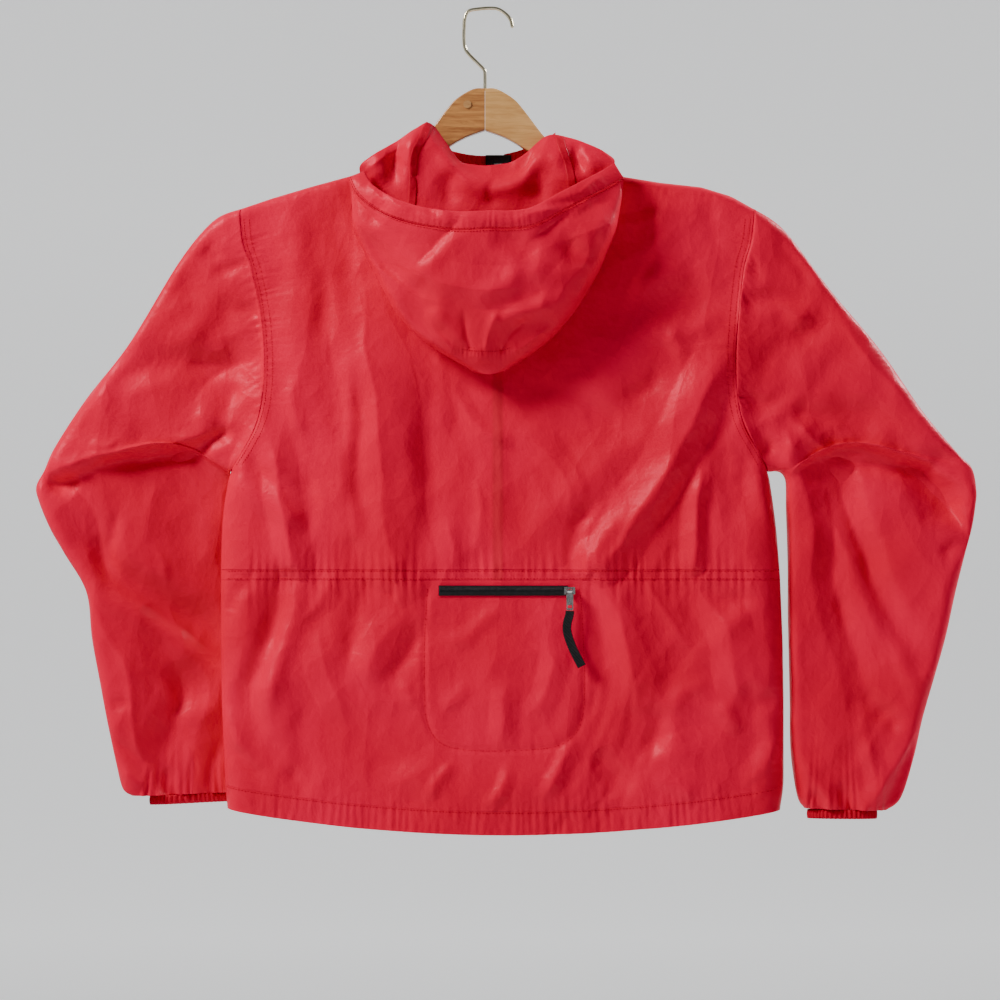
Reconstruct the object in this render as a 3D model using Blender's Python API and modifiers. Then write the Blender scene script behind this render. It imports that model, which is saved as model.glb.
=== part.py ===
"""Hooded rain jacket hanging on a wooden hanger, with its back turned to the viewer.

Metres, +Z up.  The origin is where the hook's wire rests on whatever holds it.
The jacket's back faces -Y and its fronts face +Y.  Tables and sizes are in
millimetres; MM turns them into metres where meshes are made.
"""

import math
from collections import namedtuple

import bmesh
import bpy

MM = 0.001

# ---------------------------------------------------------------- driving sizes
WALL = 1.0              # cloth wall
SEAM_GAP = 0.3          # between pieces that are sewn together
LAYER_GAP = 0.35        # between a panel and what is sewn on it
EDGE_Y = 0.45           # a side or shoulder edge's outer face, from the middle plane

HANGER_X = -5.5         # the hanger's middle
HANGER_THICK = 13.0
NECK_HALF_WIDTH = 82.0
NECK_DEPTH = 22.0       # how far the neck stands open, front and back
NECK_DROP = 27.0        # the neckline's dip at the middle
NECK_BAND_HEIGHT = 13.0

ZIP_X = 9.0             # the front zip's line
ZIP_HALF_GAP = 6.5      # each front's edge from that line
ZIP_TAPE_WIDTH = 28.0

ARMPIT_Z = -508.0
WAIST_Z = -621.0        # middle of the waist casing
WAIST_CASING = 11.0
HEM_CASING = 26.0
HEM_LOW_Z = -905.0      # the hem's lowest point
HEM_LOW_X = 20.0
HEM_RISE = 26.0         # how much higher the hem is 300 mm from there

SIDE_ROUND = 30.0       # how far from a side seam the panels round over
TOP_ROUND = 9.0
NECK_FALL = 60.0        # how far below the neckline the panels have come together
SLEEVE_ROUND = 14.0

HOOD_FOLD_Y = -33.0     # the hood's side folds
HOOD_TOP_STEP = 8.0     # how much further out they lie beside the mouth
NAPE_EDGE_Y = 1.0       # the nape's outer face at those folds
HOOD_BACK_Y = 4.5       # its inner wall from those folds, towards the back
HOOD_CASING = 20.0
HOOD_SEAM_GAP = 0.7

WIRE = 4.0              # the hook's wire

# ---------------------------------------------------------------- outline tables
Edge = namedtuple("Edge", "z left right")
BODY_EDGES = [
    Edge(-219, -274, 290), Edge(-256, -271, 286), Edge(-280, -262, 278),
    Edge(-313, -254, 274), Edge(-346, -249, 271), Edge(-376, -247, 269),
    Edge(-410, -247, 269), Edge(-438, -250, 272), Edge(-462, -257, 279),
    Edge(-490, -273, 296), Edge(-508, -286, 306), Edge(-540, -292, 311),
    Edge(-571, -295, 315), Edge(-621, -296, 319), Edge(-693, -296, 322),
    Edge(-760, -295, 323), Edge(-854, -291, 323), Edge(-885, -288, 318),
]

Depth = namedtuple("Depth", "z half")
BODY_DEPTH = [
    Depth(-150, 9), Depth(-230, 10), Depth(-320, 13), Depth(-450, 17),
    Depth(-620, 20), Depth(-760, 22), Depth(-905, 25),
]

Line = namedtuple("Line", "x z")
SHOULDER = [
    Line(-274, -219), Line(-240, -207.5), Line(-200, -195.5), Line(-153.5, -182.8),
    Line(-110, -166.3), Line(-87.5, -150.5), Line(76.5, -150.5), Line(99, -166.3),
    Line(142.5, -182.8), Line(186.5, -190), Line(232, -195), Line(265, -205),
    Line(290, -219),
]

# Broad folds: a soft ridge (height > 0) or trough from point 1 to point 2.
Fold = namedtuple("Fold", "x1 z1 x2 z2 width height")
BACK_FOLDS = [
    Fold(-225, -330, -150, -560, 20, 4.0), Fold(-185, -250, -120, -420, 24, -3.0),
    Fold(-120, -400, -60, -600, 26, 3.5), Fold(-40, -430, -10, -600, 22, -3.0),
    Fold(250, -395, 60, -560, 20, 4.5), Fold(262, -440, 150, -590, 17, -3.5),
    Fold(200, -240, 130, -420, 26, 3.0), Fold(60, -420, 110, -600, 22, -2.5),
    Fold(-270, -650, -200, -850, 20, 3.5), Fold(-200, -640, -120, -850, 22, -3.0),
    Fold(130, -640, 215, -840, 22, 4.0), Fold(215, -640, 295, -800, 18, -3.0),
    Fold(-60, -845, 110, -865, 24, 3.0), Fold(300, -640, 240, -700, 14, 3.0),
]
FRONT_FOLDS = [
    Fold(-240, -390, -90, -590, 22, 3.5), Fold(-150, -240, -80, -420, 26, -3.0),
    Fold(245, -400, 120, -600, 22, 4.0), Fold(190, -240, 120, -430, 26, -3.0),
    Fold(-250, -640, -160, -860, 24, 3.5), Fold(90, -640, 180, -860, 24, -3.0),
    Fold(280, -620, 230, -840, 20, 3.0), Fold(-110, -600, -60, -840, 22, -2.5),
]

# Sleeve sections: the outer and inner points of each flattened ring, its half
# depth, how far its inner point lies towards +Y, how far its near wall is drawn
# up, and its place in the elbow's ledge (1 stands out, -1 back).
Section = namedtuple("Section", "outer_x outer_z inner_x inner_z half inner_y rise ledge")
LEFT_SLEEVE = [
    Section(-304, -232, -289.5, -508, 10, 0, 0, 0),
    Section(-341, -276, -293, -507.5, 10, 1, 0, 0),
    Section(-396, -366, -296.5, -508, 11, 2, 6, 0),
    Section(-444, -428, -299.5, -509, 11, 4, 14, 0),
    Section(-478, -480, -302, -511, 11, 6, 22, 0),
    Section(-490, -506, -304, -514, 11, 8, 30, 1),
    Section(-499, -524, -305, -519, 11, 10, 28, -1),
    Section(-496, -541, -304.5, -528, 10, 13, 8, -0.5),
    Section(-484, -570, -301, -548, 10, 18, 0, 0),
    Section(-468, -598, -294, -573, 10, 26, 0, 0),
    Section(-444, -640, -284, -608, 10, 33, 0, 0),
    Section(-438, -690, -276, -658, 10, 38, 0, 0),
    Section(-430, -734, -273, -704, 10, 38, 0, 0),
    Section(-421, -782, -277, -760, 10, 38, 0, 0),
    Section(-411, -829, -283, -818, 10, 38, 0, 0),
    Section(-404, -856, -287, -852, 10, 38, 0, 0),
    Section(-394, -864, -288, -864, 9, 38, 0, 0),
]
RIGHT_SLEEVE = [
    Section(324, -243, 309.5, -508, 10, 0, 0, 0),
    Section(374, -308, 313, -507.5, 10, 1, 0, 0),
    Section(429, -374, 316.5, -508, 11, 2, 6, 0),
    Section(476, -442, 319.5, -509, 11, 3, 14, 0),
    Section(514, -487, 322, -511, 11, 4, 22, 0),
    Section(530, -504, 324, -514, 11, 5, 30, 1),
    Section(535, -528, 325.5, -519, 11, 6, 28, -1),
    Section(534, -545, 326, -528, 11, 6, 8, -0.5),
    Section(530, -570, 326, -548, 11, 6, 0, 0),
    Section(522, -600, 327, -580, 12, 5, 0, 0),
    Section(512, -640, 328, -620, 12, 5, 0, 0),
    Section(501, -690, 328, -665, 12, 5, 0, 0),
    Section(488, -736, 329, -712, 12, 4, 0, 0),
    Section(476, -778, 330, -762, 12, 4, 0, 0),
    Section(466, -822, 331, -816, 12, 4, 0, 0),
    Section(452, -866, 338, -864, 11, 4, 0, 0),
    Section(436, -880, 346, -878, 9, 4, 0, 0),
]
ARMHOLE_GAP = 0.9       # across the slanting armhole, so that its walls stay 0.3 mm apart
LEDGE_STEP = 4.5        # how far the near wall stands out above the elbow, and back below it

Cuff = namedtuple("Cuff", "left right z half")
CUFFS = {
    "left": Cuff(-374, -291, -869.4, 8),
    "right": Cuff(350, 425, -884.4, 8),
}
CUFF_HEIGHT = 10.0
CUFF_WAVES = 18
CUFF_WAVE_HEIGHT = 0.7

# Hood: the outline of the pouch and how far its outer wall stands off.
HoodRow = namedtuple("HoodRow", "z left right bulge")
HOOD_ROWS = [
    HoodRow(-186, -145, 138, 30), HoodRow(-205, -150, 144, 38), HoodRow(-243, -150, 138, 47),
    HoodRow(-289, -127, 120, 47), HoodRow(-334, -104, 93, 38), HoodRow(-360, -81, 71, 29),
    HoodRow(-377, -56, 51, 21), HoodRow(-391, -34, 29, 14), HoodRow(-399, -14, 11, 9),
]
Rim = namedtuple("Rim", "x y z")
HOOD_MOUTH = [          # the face opening's near edge, from corner to corner
    Rim(-136, -45, -182), Rim(-127, -58, -198), Rim(-104, -70, -214), Rim(-82, -76, -222),
    Rim(-59, -79, -227), Rim(-32, -81, -230), Rim(0, -82, -229), Rim(22, -81, -229),
    Rim(45, -78, -225), Rim(77, -67, -207), Rim(99, -60, -196), Rim(124, -45, -183),
]
HOOD_CREST = [          # where the hood turns over beside the neck and the hanger
    Rim(-139, -34, -173), Rim(-116, -31, -157), Rim(-87, -26, -143), Rim(-66, -24, -134),
    Rim(-53, -24, -144), Rim(-37, -27, -161), Rim(-16, -28, -170), Rim(16, -28, -171),
    Rim(38, -27, -163), Rim(52, -25, -148), Rim(70, -24, -140), Rim(97, -27, -148),
    Rim(117, -31, -156), Rim(133, -30, -166),
]
HOOD_FOLDS = [
    Fold(-145, -250, -70, -330, 12, -5.0), Fold(-85, -300, -40, -255, 11, 4.0),
    Fold(5, -262, 60, -300, 12, 4.5), Fold(10, -345, 80, -325, 10, 3.5),
    Fold(-60, -340, -10, -385, 8, 3.0), Fold(60, -250, 110, -280, 10, -3.0),
]

# Stow pocket: its bag's outline, and what closes it.
PocketRow = namedtuple("PocketRow", "z left right")
POCKET_ROWS = [
    PocketRow(-630, -66, 96), PocketRow(-690, -71, 101), PocketRow(-745, -70, 102),
    PocketRow(-780, -67, 98), PocketRow(-800, -56, 88), PocketRow(-811, -34, 64),
]
POCKET_INSET = 0.8      # between the lower back and the pocket's bag
STOW_ZIP_LEFT, STOW_ZIP_RIGHT = -56.0, 85.0
STOW_ZIP_Z = -638.0
STOW_ZIP_HEIGHT = 11.0
PULL_WIDTH, PULL_LENGTH, PULL_THICK = 7.5, 21.0, 1.2
PULL_PIVOT = (87.0, -33.0, -638.0)
EYE_RADIUS, EYE_LENGTH = 1.9, 5.0
PIN_RADIUS, PIN_CLEARANCE = 0.8, 0.35
LUG = 1.4
SLIDER_PLATE = 1.6
STOW_SLIDER_SIZE = (12.0, 8.0)
TAPE_GAP = 0.6          # between the lower back and the zip's tape on it
TAPE_INSET = 0.8        # between a front and the zip's tape behind it
FRONT_SLIDER_Z = -169.0
FRONT_PIVOT = (ZIP_X, 29.0, -172.0)
WEBBING_WIDTH = 9.4
WEBBING_THICK = 1.4
WEBBING_PATH = [Line(87, -659.6), Line(86.6, -664), Line(84, -674), Line(84.4, -684), Line(90, -700), Line(100, -720)]

HANGER_TOP = [          # half of the wood's outline, measured from its middle
    Line(0, -86.9), Line(13, -87.6), Line(31, -98), Line(43, -111), Line(67, -142),
    Line(86, -158.3), Line(104.5, -168.7), Line(148, -185.2), Line(192, -198.4), Line(208, -204.6),
]
HANGER_UNDER = [
    Line(215, -210), Line(209, -217), Line(148.5, -203.5), Line(93.5, -184.5),
    Line(51.7, -158.4), Line(24, -142), Line(0, -133),
]
HOOK_PATH = [
    Line(-5.5, -87.2), Line(-5.5, -72), Line(-6.5, -66), Line(-12, -60), Line(-22, -50),
    Line(-27, -43), Line(-28.5, -34), Line(-28.5, -20), Line(-27.5, -8), Line(-23, -1),
    Line(-12, 1.2), Line(0, 2.0), Line(9, 1.0), Line(17, -4), Line(22.5, -10.5), Line(24.5, -18),
]
PLUG = Line(-24.8, -104.5)
PLUG_RADIUS = 4.4
PLUG_PROUD = 0.8

# Fractions that crowd rows and columns towards rounded edges.
ARM_STATIONS = [0, .001, .005, .014, .03, .06, .12, .2, .31, .43, .56, .69, .81, .91, .965, .995, 1]
SIDE_STATIONS = [0, .004, .016, .05]
NECK_STATIONS = [-1, -.96, -.9, -.75, -.5, -.25, 0, .25, .5, .75, .9, .96, 1]


# ---------------------------------------------------------------- reading tables
def between(a, b, t):
    return a + (b - a) * t


def read(table, key, column, value):
    """A column's value where the key column has the given value, in straight runs."""
    rows = sorted(table, key=lambda row: getattr(row, key))
    value = min(max(value, getattr(rows[0], key)), getattr(rows[-1], key))
    for low, high in zip(rows, rows[1:]):
        a, b = getattr(low, key), getattr(high, key)
        if value <= b:
            return between(getattr(low, column), getattr(high, column), (value - a) / (b - a))
    return getattr(rows[-1], column)


def soft_read(table, key, column, value, blur):
    """As read, with its corners softened over the given distance."""
    steps = (-1.0, -0.5, 0.0, 0.5, 1.0)
    return sum(read(table, key, column, value + blur * step) for step in steps) / len(steps)


def follow(points, t):
    """A point at fraction t of a smooth curve through the points (Catmull-Rom)."""
    last = len(points) - 1
    place = min(max(t, 0.0), 1.0) * last
    i = min(int(place), last - 1)
    f = place - i
    before, here = points[max(i - 1, 0)], points[i]
    there, after = points[i + 1], points[min(i + 2, last)]
    return tuple(
        0.5 * (2 * b + (c - a) * f + (2 * a - 5 * b + 4 * c - d) * f * f
               + (3 * b - a - 3 * c + d) * f ** 3)
        for a, b, c, d in zip(before, here, there, after))


def rounded(distance, radius):
    """Rises from 0 at an edge to 1 at the radius, as a quarter circle does."""
    t = 1.0 - min(max(distance, 0.0), radius) / radius
    return math.sqrt(max(0.0, 1.0 - t * t))


def smooth(t):
    t = min(max(t, 0.0), 1.0)
    return t * t * (3 - 2 * t)


def relief(folds, x, z):
    """Height of the broad folds at a place."""
    total = 0.0
    for fold in folds:
        run_x, run_z = fold.x2 - fold.x1, fold.z2 - fold.z1
        length2 = run_x * run_x + run_z * run_z
        t = ((x - fold.x1) * run_x + (z - fold.z1) * run_z) / length2
        t = min(max(t, 0.0), 1.0)
        away2 = (x - fold.x1 - t * run_x) ** 2 + (z - fold.z1 - t * run_z) ** 2
        total += fold.height * math.exp(-away2 / fold.width ** 2)
    return total


# ---------------------------------------------------------------- the body's form
def side_x(side, z):
    return soft_read(BODY_EDGES, "z", side, z, 9.0)


def shoulder_z(x):
    return read(SHOULDER, "x", "z", x)


def neck_reach(x):
    """1 at the neckline's middle, falling to 0 at its two ends and beyond."""
    t = (x - HANGER_X) / NECK_HALF_WIDTH
    return max(0.0, 1.0 - t * t)


def neck_open(x):
    """As neck_reach, but staying near 1 until close to the ends."""
    t = (x - HANGER_X) / NECK_HALF_WIDTH
    return math.sqrt(max(0.0, 1.0 - t ** 6))


def top_z(x):
    """The upper edge of the back or a front: shoulder seam and neckline."""
    return shoulder_z(x) - NECK_DROP * neck_reach(x)


def hem_z(x):
    """The hem's lower edge."""
    return HEM_LOW_Z + HEM_RISE * ((x - HEM_LOW_X) / 300.0) ** 2


def edge_half(z):
    """Half depth at the panels' side edges: open at the armhole, closed below it."""
    if z <= ARMPIT_Z:
        return EDGE_Y
    return EDGE_Y + soft_read(BODY_DEPTH, "z", "half", z, 20) * rounded(z - ARMPIT_Z, 45.0)


def body_half(x, z, folds):
    """Distance of a panel's outer face from the jacket's middle plane."""
    left, right = side_x("left", z), side_x("right", z)
    side = min(x - left, right - x)
    edge = edge_half(z)
    full = soft_read(BODY_DEPTH, "z", "half", z, 20) + relief(folds, x, z) * rounded(side, 40.0)
    half = between(edge, full, rounded(side, SIDE_ROUND))
    top = EDGE_Y + NECK_DEPTH * neck_open(x)
    fall = top_z(x) - z
    blend = between(rounded(fall, TOP_ROUND), smooth(fall / NECK_FALL), min(1.0, 14 * neck_reach(x)))
    return between(top, half, blend)


# ---------------------------------------------------------------- making objects
def new_material(name, colour, roughness, metallic=0.0):
    material = bpy.data.materials.new(name)
    material.use_nodes = True
    shader = material.node_tree.nodes["Principled BSDF"]
    shader.inputs["Base Color"].default_value = (*colour, 1.0)
    shader.inputs["Roughness"].default_value = roughness
    shader.inputs["Metallic"].default_value = metallic
    return material


NYLON = ((0.80, 0.02, 0.04), 0.38)
NYLON_BAND = ((0.72, 0.015, 0.035), 0.42)
BLACK_TAPE = ((0.012, 0.012, 0.014), 0.75)
SILVER = ((0.70, 0.70, 0.69), 0.28, 1.0)
BRASS = ((0.80, 0.68, 0.42), 0.25, 1.0)
WOOD = ((0.55, 0.27, 0.10), 0.40)
WOOD_DARK = ((0.42, 0.18, 0.06), 0.40)


def add_object(name, mesh, finish):
    thing = bpy.data.objects.new(name, mesh)
    jacket.objects.link(thing)
    mesh.materials.append(new_material(name + "_finish", *finish))
    mesh.shade_smooth()
    return thing


def grid_mesh(name, rows, closed):
    """A surface through rows of points; closed joins each row's ends."""
    count = len(rows[0])
    points = [tuple(v * MM for v in point) for row in rows for point in row]
    faces = []
    for r in range(len(rows) - 1):
        for c in range(count if closed else count - 1):
            d = (c + 1) % count
            faces.append((r * count + c, r * count + d, (r + 1) * count + d, (r + 1) * count + c))
    mesh = bpy.data.meshes.new(name)
    mesh.from_pydata(points, [], faces)
    return mesh


def cloth(name, rows, finish=NYLON, closed=False, turned=False, wall=WALL):
    """A cloth piece: the surface is its outer face and Solidify gives the wall.

    Rows run down and columns towards +X for a piece that faces +Y; turned is for
    one that faces the other way.
    """
    mesh = grid_mesh(name, [row[::-1] for row in rows] if turned else rows, closed)
    thing = add_object(name, mesh, finish)
    thicken = thing.modifiers.new("wall", "SOLIDIFY")
    thicken.thickness = wall * MM
    thicken.offset = -1.0
    return thing


def flat_outline(name, outline, thickness, y, finish, bevel):
    """A plate with the given outline in X and Z and rounded edges."""
    curve = bpy.data.curves.new(name, "CURVE")
    curve.dimensions = "2D"
    curve.fill_mode = "BOTH"
    curve.extrude = thickness / 2 * MM
    spline = curve.splines.new("POLY")
    spline.points.add(len(outline) - 1)
    for point, (x, z) in zip(spline.points, outline):
        point.co = (x * MM, z * MM, 0.0, 1.0)
    spline.use_cyclic_u = True
    guide = bpy.data.objects.new(name + "_outline", curve)
    jacket.objects.link(guide)
    guide.rotation_euler = (math.pi / 2, 0.0, 0.0)
    guide.location = (0.0, y * MM, 0.0)
    bpy.context.view_layer.update()
    mesh = bpy.data.meshes.new_from_object(guide.evaluated_get(bpy.context.evaluated_depsgraph_get()))
    mesh.name = name
    mesh.materials.clear()
    work = bmesh.new()
    work.from_mesh(mesh)
    bmesh.ops.remove_doubles(work, verts=work.verts, dist=0.00001)
    bmesh.ops.recalc_face_normals(work, faces=work.faces)
    work.to_mesh(mesh)
    work.free()
    thing = add_object(name, mesh, finish)
    thing.matrix_world = guide.matrix_world
    bpy.data.objects.remove(guide)
    edge = thing.modifiers.new("edges", "BEVEL")
    edge.width = bevel * MM
    edge.segments = 2
    edge.limit_method = "ANGLE"
    edge.angle_limit = math.radians(50)
    return thing


# ---------------------------------------------------------------- the body
LOWER_ROWS = 7


def waist_top(x):
    return WAIST_Z + WAIST_CASING / 2


def waist_low(x):
    return WAIST_Z - WAIST_CASING / 2


def hem_top(x):
    return hem_z(x) + HEM_CASING


def level(upper, lower, t):
    """A height function between two others."""
    return lambda x: between(upper(x), lower(x), t)


def armpit_line(x):
    return ARMPIT_Z


def upper_heights(lower):
    """Rows from the shoulder to the armpit, then on down to a lower edge."""
    rows = [level(top_z, armpit_line, t) for t in ARM_STATIONS]
    return rows + [level(armpit_line, lower, (i + 1) / 4) for i in range(4)]


def neck_columns():
    """The neck's stations as shares of the shoulders' width."""
    left, right = SHOULDER[0].x, SHOULDER[-1].x
    return [(HANGER_X + NECK_HALF_WIDTH * t - left) / (right - left) for t in NECK_STATIONS]


def whole_columns(outer):
    """Columns of the back: crowded at the side seams, and one at each neck station."""
    neck = neck_columns()
    low = [between(SIDE_STATIONS[-1], neck[0], i / outer) for i in range(1, outer)]
    high = [between(neck[-1], 1 - SIDE_STATIONS[-1], i / outer) for i in range(1, outer)]
    return SIDE_STATIONS + low + neck + high + [1 - t for t in reversed(SIDE_STATIONS)]


def back_rows(heights):
    """Points of a piece of the back; each height is a function of x."""
    rows = []
    for height in heights:
        row = []
        for share in whole_columns(4):
            z = height(between(SHOULDER[0].x, SHOULDER[-1].x, share))
            for _ in range(3):
                x = between(side_x("left", z), side_x("right", z), share)
                z = height(x)
            row.append((x, -body_half(x, z, BACK_FOLDS), z))
        rows.append(row)
    return rows


def build_back():
    seam = SEAM_GAP / 2
    upper = upper_heights(lambda x: waist_top(x) + seam)
    cloth("back_upper", back_rows(upper), turned=True)
    casing = [level(lambda x: waist_top(x) - seam, lambda x: waist_low(x) + seam, t)
              for t in (0, 0.5, 1)]
    cloth("waist_casing", back_rows(casing), NYLON_BAND, turned=True)
    lower = [level(lambda x: waist_low(x) - seam, lambda x: hem_top(x) + seam, i / LOWER_ROWS)
             for i in range(LOWER_ROWS + 1)]
    cloth("back_lower", back_rows(lower), turned=True)
    hem = [level(lambda x: hem_top(x) - seam, hem_z, t) for t in (0, 0.5, 1)]
    cloth("hem_casing_back", back_rows(hem), NYLON_BAND, turned=True)


def zip_edge(side):
    return ZIP_X + (-ZIP_HALF_GAP if side == "left" else ZIP_HALF_GAP)


def front_columns(side):
    """Columns of a front as shares of the way from its side seam to its zip edge."""
    start = SHOULDER[0].x if side == "left" else SHOULDER[-1].x
    edge = zip_edge(side)
    neck = [(HANGER_X + NECK_HALF_WIDTH * t - start) / (edge - start) for t in NECK_STATIONS]
    neck = sorted(share for share in neck if share < 0.985)
    shoulder = [between(2 * SIDE_STATIONS[-1], neck[0], i / 4) for i in range(1, 4)]
    return [2 * t for t in SIDE_STATIONS] + shoulder + neck + [1.0]


def front_rows(side, heights):
    """Rows of one front, from its side seam to the zip."""
    edge = zip_edge(side)
    rows = []
    for height in heights:
        row = []
        for share in front_columns(side):
            z = height(edge)
            for _ in range(4):
                x = between(side_x(side, z), edge, share)
                z = height(x)
            row.append((x, body_half(x, z, FRONT_FOLDS), z))
        rows.append(row)
    return rows


def front_heights():
    """Rows of a front from the shoulder to the hem casing."""
    seam = SEAM_GAP / 2
    down = 10
    rows = [level(top_z, armpit_line, t) for t in ARM_STATIONS]
    return rows + [level(armpit_line, lambda x: hem_top(x) + seam, (i + 1) / down) for i in range(down)]


def build_fronts():
    seam = SEAM_GAP / 2
    hem = [level(lambda x: hem_top(x) - seam, hem_z, t) for t in (0, 0.5, 1)]
    for side in ("left", "right"):
        turned = side == "right"
        cloth("front_" + side, front_rows(side, front_heights()), turned=turned)
        cloth("hem_casing_front_" + side, front_rows(side, hem), NYLON_BAND, turned=turned)


# ---------------------------------------------------------------- sleeves and cuffs
def armhole_ring(side):
    """The sleeve's seam ring: the body's armhole edge, moved outwards."""
    out = -1 if side == "left" else 1
    shoulder_x = side_x(side, SHOULDER[0].z)
    high = top_z(shoulder_x)
    near, far = [], []
    for t in ARM_STATIONS:
        z = between(high, ARMPIT_Z, t)
        x = side_x(side, z) + out * ARMHOLE_GAP
        fall = rounded(high - z, TOP_ROUND)
        half = between(EDGE_Y, edge_half(z), fall)
        near.append((x, -half, z))
        far.append((x, half, z))
    return near, far


def sleeve_ring(section, bow):
    """Near and far points of one flattened ring, from its outer to its inner point."""
    near, far = [], []
    length = math.hypot(section.inner_x - section.outer_x, section.inner_z - section.outer_z)
    for t in ARM_STATIONS:
        reach = rounded(min(t, 1 - t) * length, SLEEVE_ROUND)
        lean = section.inner_y * smooth(t)
        x = between(section.outer_x, section.inner_x, t) + bow(t)
        z = between(section.outer_z, section.inner_z, t)
        half = between(EDGE_Y, section.half, reach)
        ledge = LEDGE_STEP * section.ledge * math.sin(math.pi * t)
        raised = section.rise * math.sin(math.pi * t ** 1.3)
        near.append((x, lean - half - ledge, z + raised))
        far.append((x, lean + half, z))
    return near, far


def build_sleeve(side, sections):
    chord_top = side_x(side, SHOULDER[0].z)
    chord_low = side_x(side, ARMPIT_Z)
    high = top_z(chord_top)

    def bow_of(share):
        def bow(t):
            z = between(high, ARMPIT_Z, t)
            return (side_x(side, z) - between(chord_top, chord_low, t)) * share
        return bow

    rings = [armhole_ring(side)]
    for i, section in enumerate(sections):
        rings.append(sleeve_ring(section, bow_of((0.7, 0.35, 0.1, 0.0)[min(i, 3)])))
    cloth("sleeve_" + side + "_back", [near for near, far in rings], turned=side == "left")
    cloth("sleeve_" + side + "_front", [far for near, far in rings], turned=side == "right")


def build_cuff(side, last):
    """The elastic band: a flattened ring whose wall is gathered into small waves."""
    cuff = CUFFS[side]
    rows = []
    steps = CUFF_WAVES * 4
    middle = (cuff.left + cuff.right) / 2
    reach = (cuff.right - cuff.left) / 2
    for height in (0.0, 1.0):
        row = []
        for i in range(steps):
            turn = 2 * math.pi * i / steps
            wave = CUFF_WAVE_HEIGHT * math.cos(turn * CUFF_WAVES) * math.sin(turn) ** 2
            x = middle + (reach + wave) * math.cos(turn)
            share = (x - last.outer_x) / (last.inner_x - last.outer_x)
            y = last.inner_y * smooth(share) + (cuff.half + wave) * math.sin(turn)
            row.append((x, y, cuff.z + CUFF_HEIGHT * (0.5 - height)))
        rows.append(row)
    cloth("cuff_" + side, rows, NYLON_BAND, closed=True, turned=True)


# ---------------------------------------------------------------- neck and hood

def neck_point(x, facing, lift=0.0):
    """A point above the neckline at a given x."""
    y = EDGE_Y + NECK_DEPTH * neck_open(x)
    return (x, facing * y, top_z(x) + lift)


def on_neckline(share, facing, lift):
    """A point above the neckline's edge, which runs straight between its stations."""
    high = next(i for i, t in enumerate(NECK_STATIONS) if t >= share)
    low = max(high - 1, 0)
    part = (share - NECK_STATIONS[low]) / max(NECK_STATIONS[high] - NECK_STATIONS[low], 0.01)
    ends = [neck_point(HANGER_X + NECK_HALF_WIDTH * NECK_STATIONS[i], facing, lift) for i in (low, high)]
    return tuple(between(a, b, part) for a, b in zip(*ends))


def neck_stations(low, high):
    return [HANGER_X + NECK_HALF_WIDTH * t for t in NECK_STATIONS if low < t < high]


def build_neck_bands():
    """The band that stands on each front's neckline, up to the zip."""
    ends = neck_stations(-0.95, 0.95)
    sides = {
        "left": [x for x in ends if x < zip_edge("left") - 4] + [zip_edge("left")],
        "right": [zip_edge("right")] + [x for x in ends if x > zip_edge("right") + 4],
    }
    for side, places in sides.items():
        rows = [[neck_point(x, 1, lift) for x in places]
                for lift in (SEAM_GAP, NECK_BAND_HEIGHT / 2, NECK_BAND_HEIGHT)]
        cloth("neck_band_" + side, rows, NYLON_BAND, turned=True)


def hood_edges(z):
    return (soft_read(HOOD_ROWS, "z", "left", z, 7), soft_read(HOOD_ROWS, "z", "right", z, 7))


HOOD_COLUMNS = [0, .02, .06, .13, .22, .31, .4, .5, .6, .69, .78, .87, .94, .98, 1]
HOOD_LOW_Z = HOOD_ROWS[-1].z
# One crest station and one neck station for each hood column.
CREST_STATIONS = [0, .06, .12, .18, .25, .33, .41, .5, .59, .67, .75, .82, .88, .94, 1]
NAPE_STATIONS = [-.9, -.85, -.8, -.75, -.5, -.35, -.25, 0, .25, .35, .5, .75, .8, .85, .9]
HOOD_STATIONS = [0, .06, .14, .24, .35, .47, .6, .72, .83, .91, .965, .99, 1]
NAPE_ROWS = [.06, .14, .26, .42, .58, .74, .87, .955, .99, 1]
NAPE_RISE = 9.0         # how far the nape climbs on its way out to the side folds


def hood_fold_y(z):
    return HOOD_FOLD_Y - HOOD_TOP_STEP * smooth((z + 270.0) / 80.0)


def hood_outer(x, z):
    left, right = hood_edges(z)
    side = min(x - left, right - x)
    width = right - left
    bulge = soft_read(HOOD_ROWS, "z", "bulge", z, 8) + relief(HOOD_FOLDS, x, z)
    dome = rounded(side, 0.5 * width) * 0.75 + rounded(side, 9.0) * 0.25
    return hood_fold_y(z) - EDGE_Y - bulge * dome


def build_hood_casing():
    """The band round the face opening, from the left corner to the right."""
    rows = []
    for drop in (0.0, 0.5, 1.0):
        row = []
        for t in HOOD_COLUMNS:
            x, y, z = follow(HOOD_MOUTH, t)
            end = rounded(min(t, 1 - t), 0.12)
            row.append((x * (1 + 0.035 * drop), y - 2.0 * math.sin(math.pi * drop) * end,
                        z - (HOOD_CASING - SEAM_GAP) * drop))
        rows.append(row)
    cloth("hood_casing", rows, NYLON_BAND, turned=True)
    return rows[-1]


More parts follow.
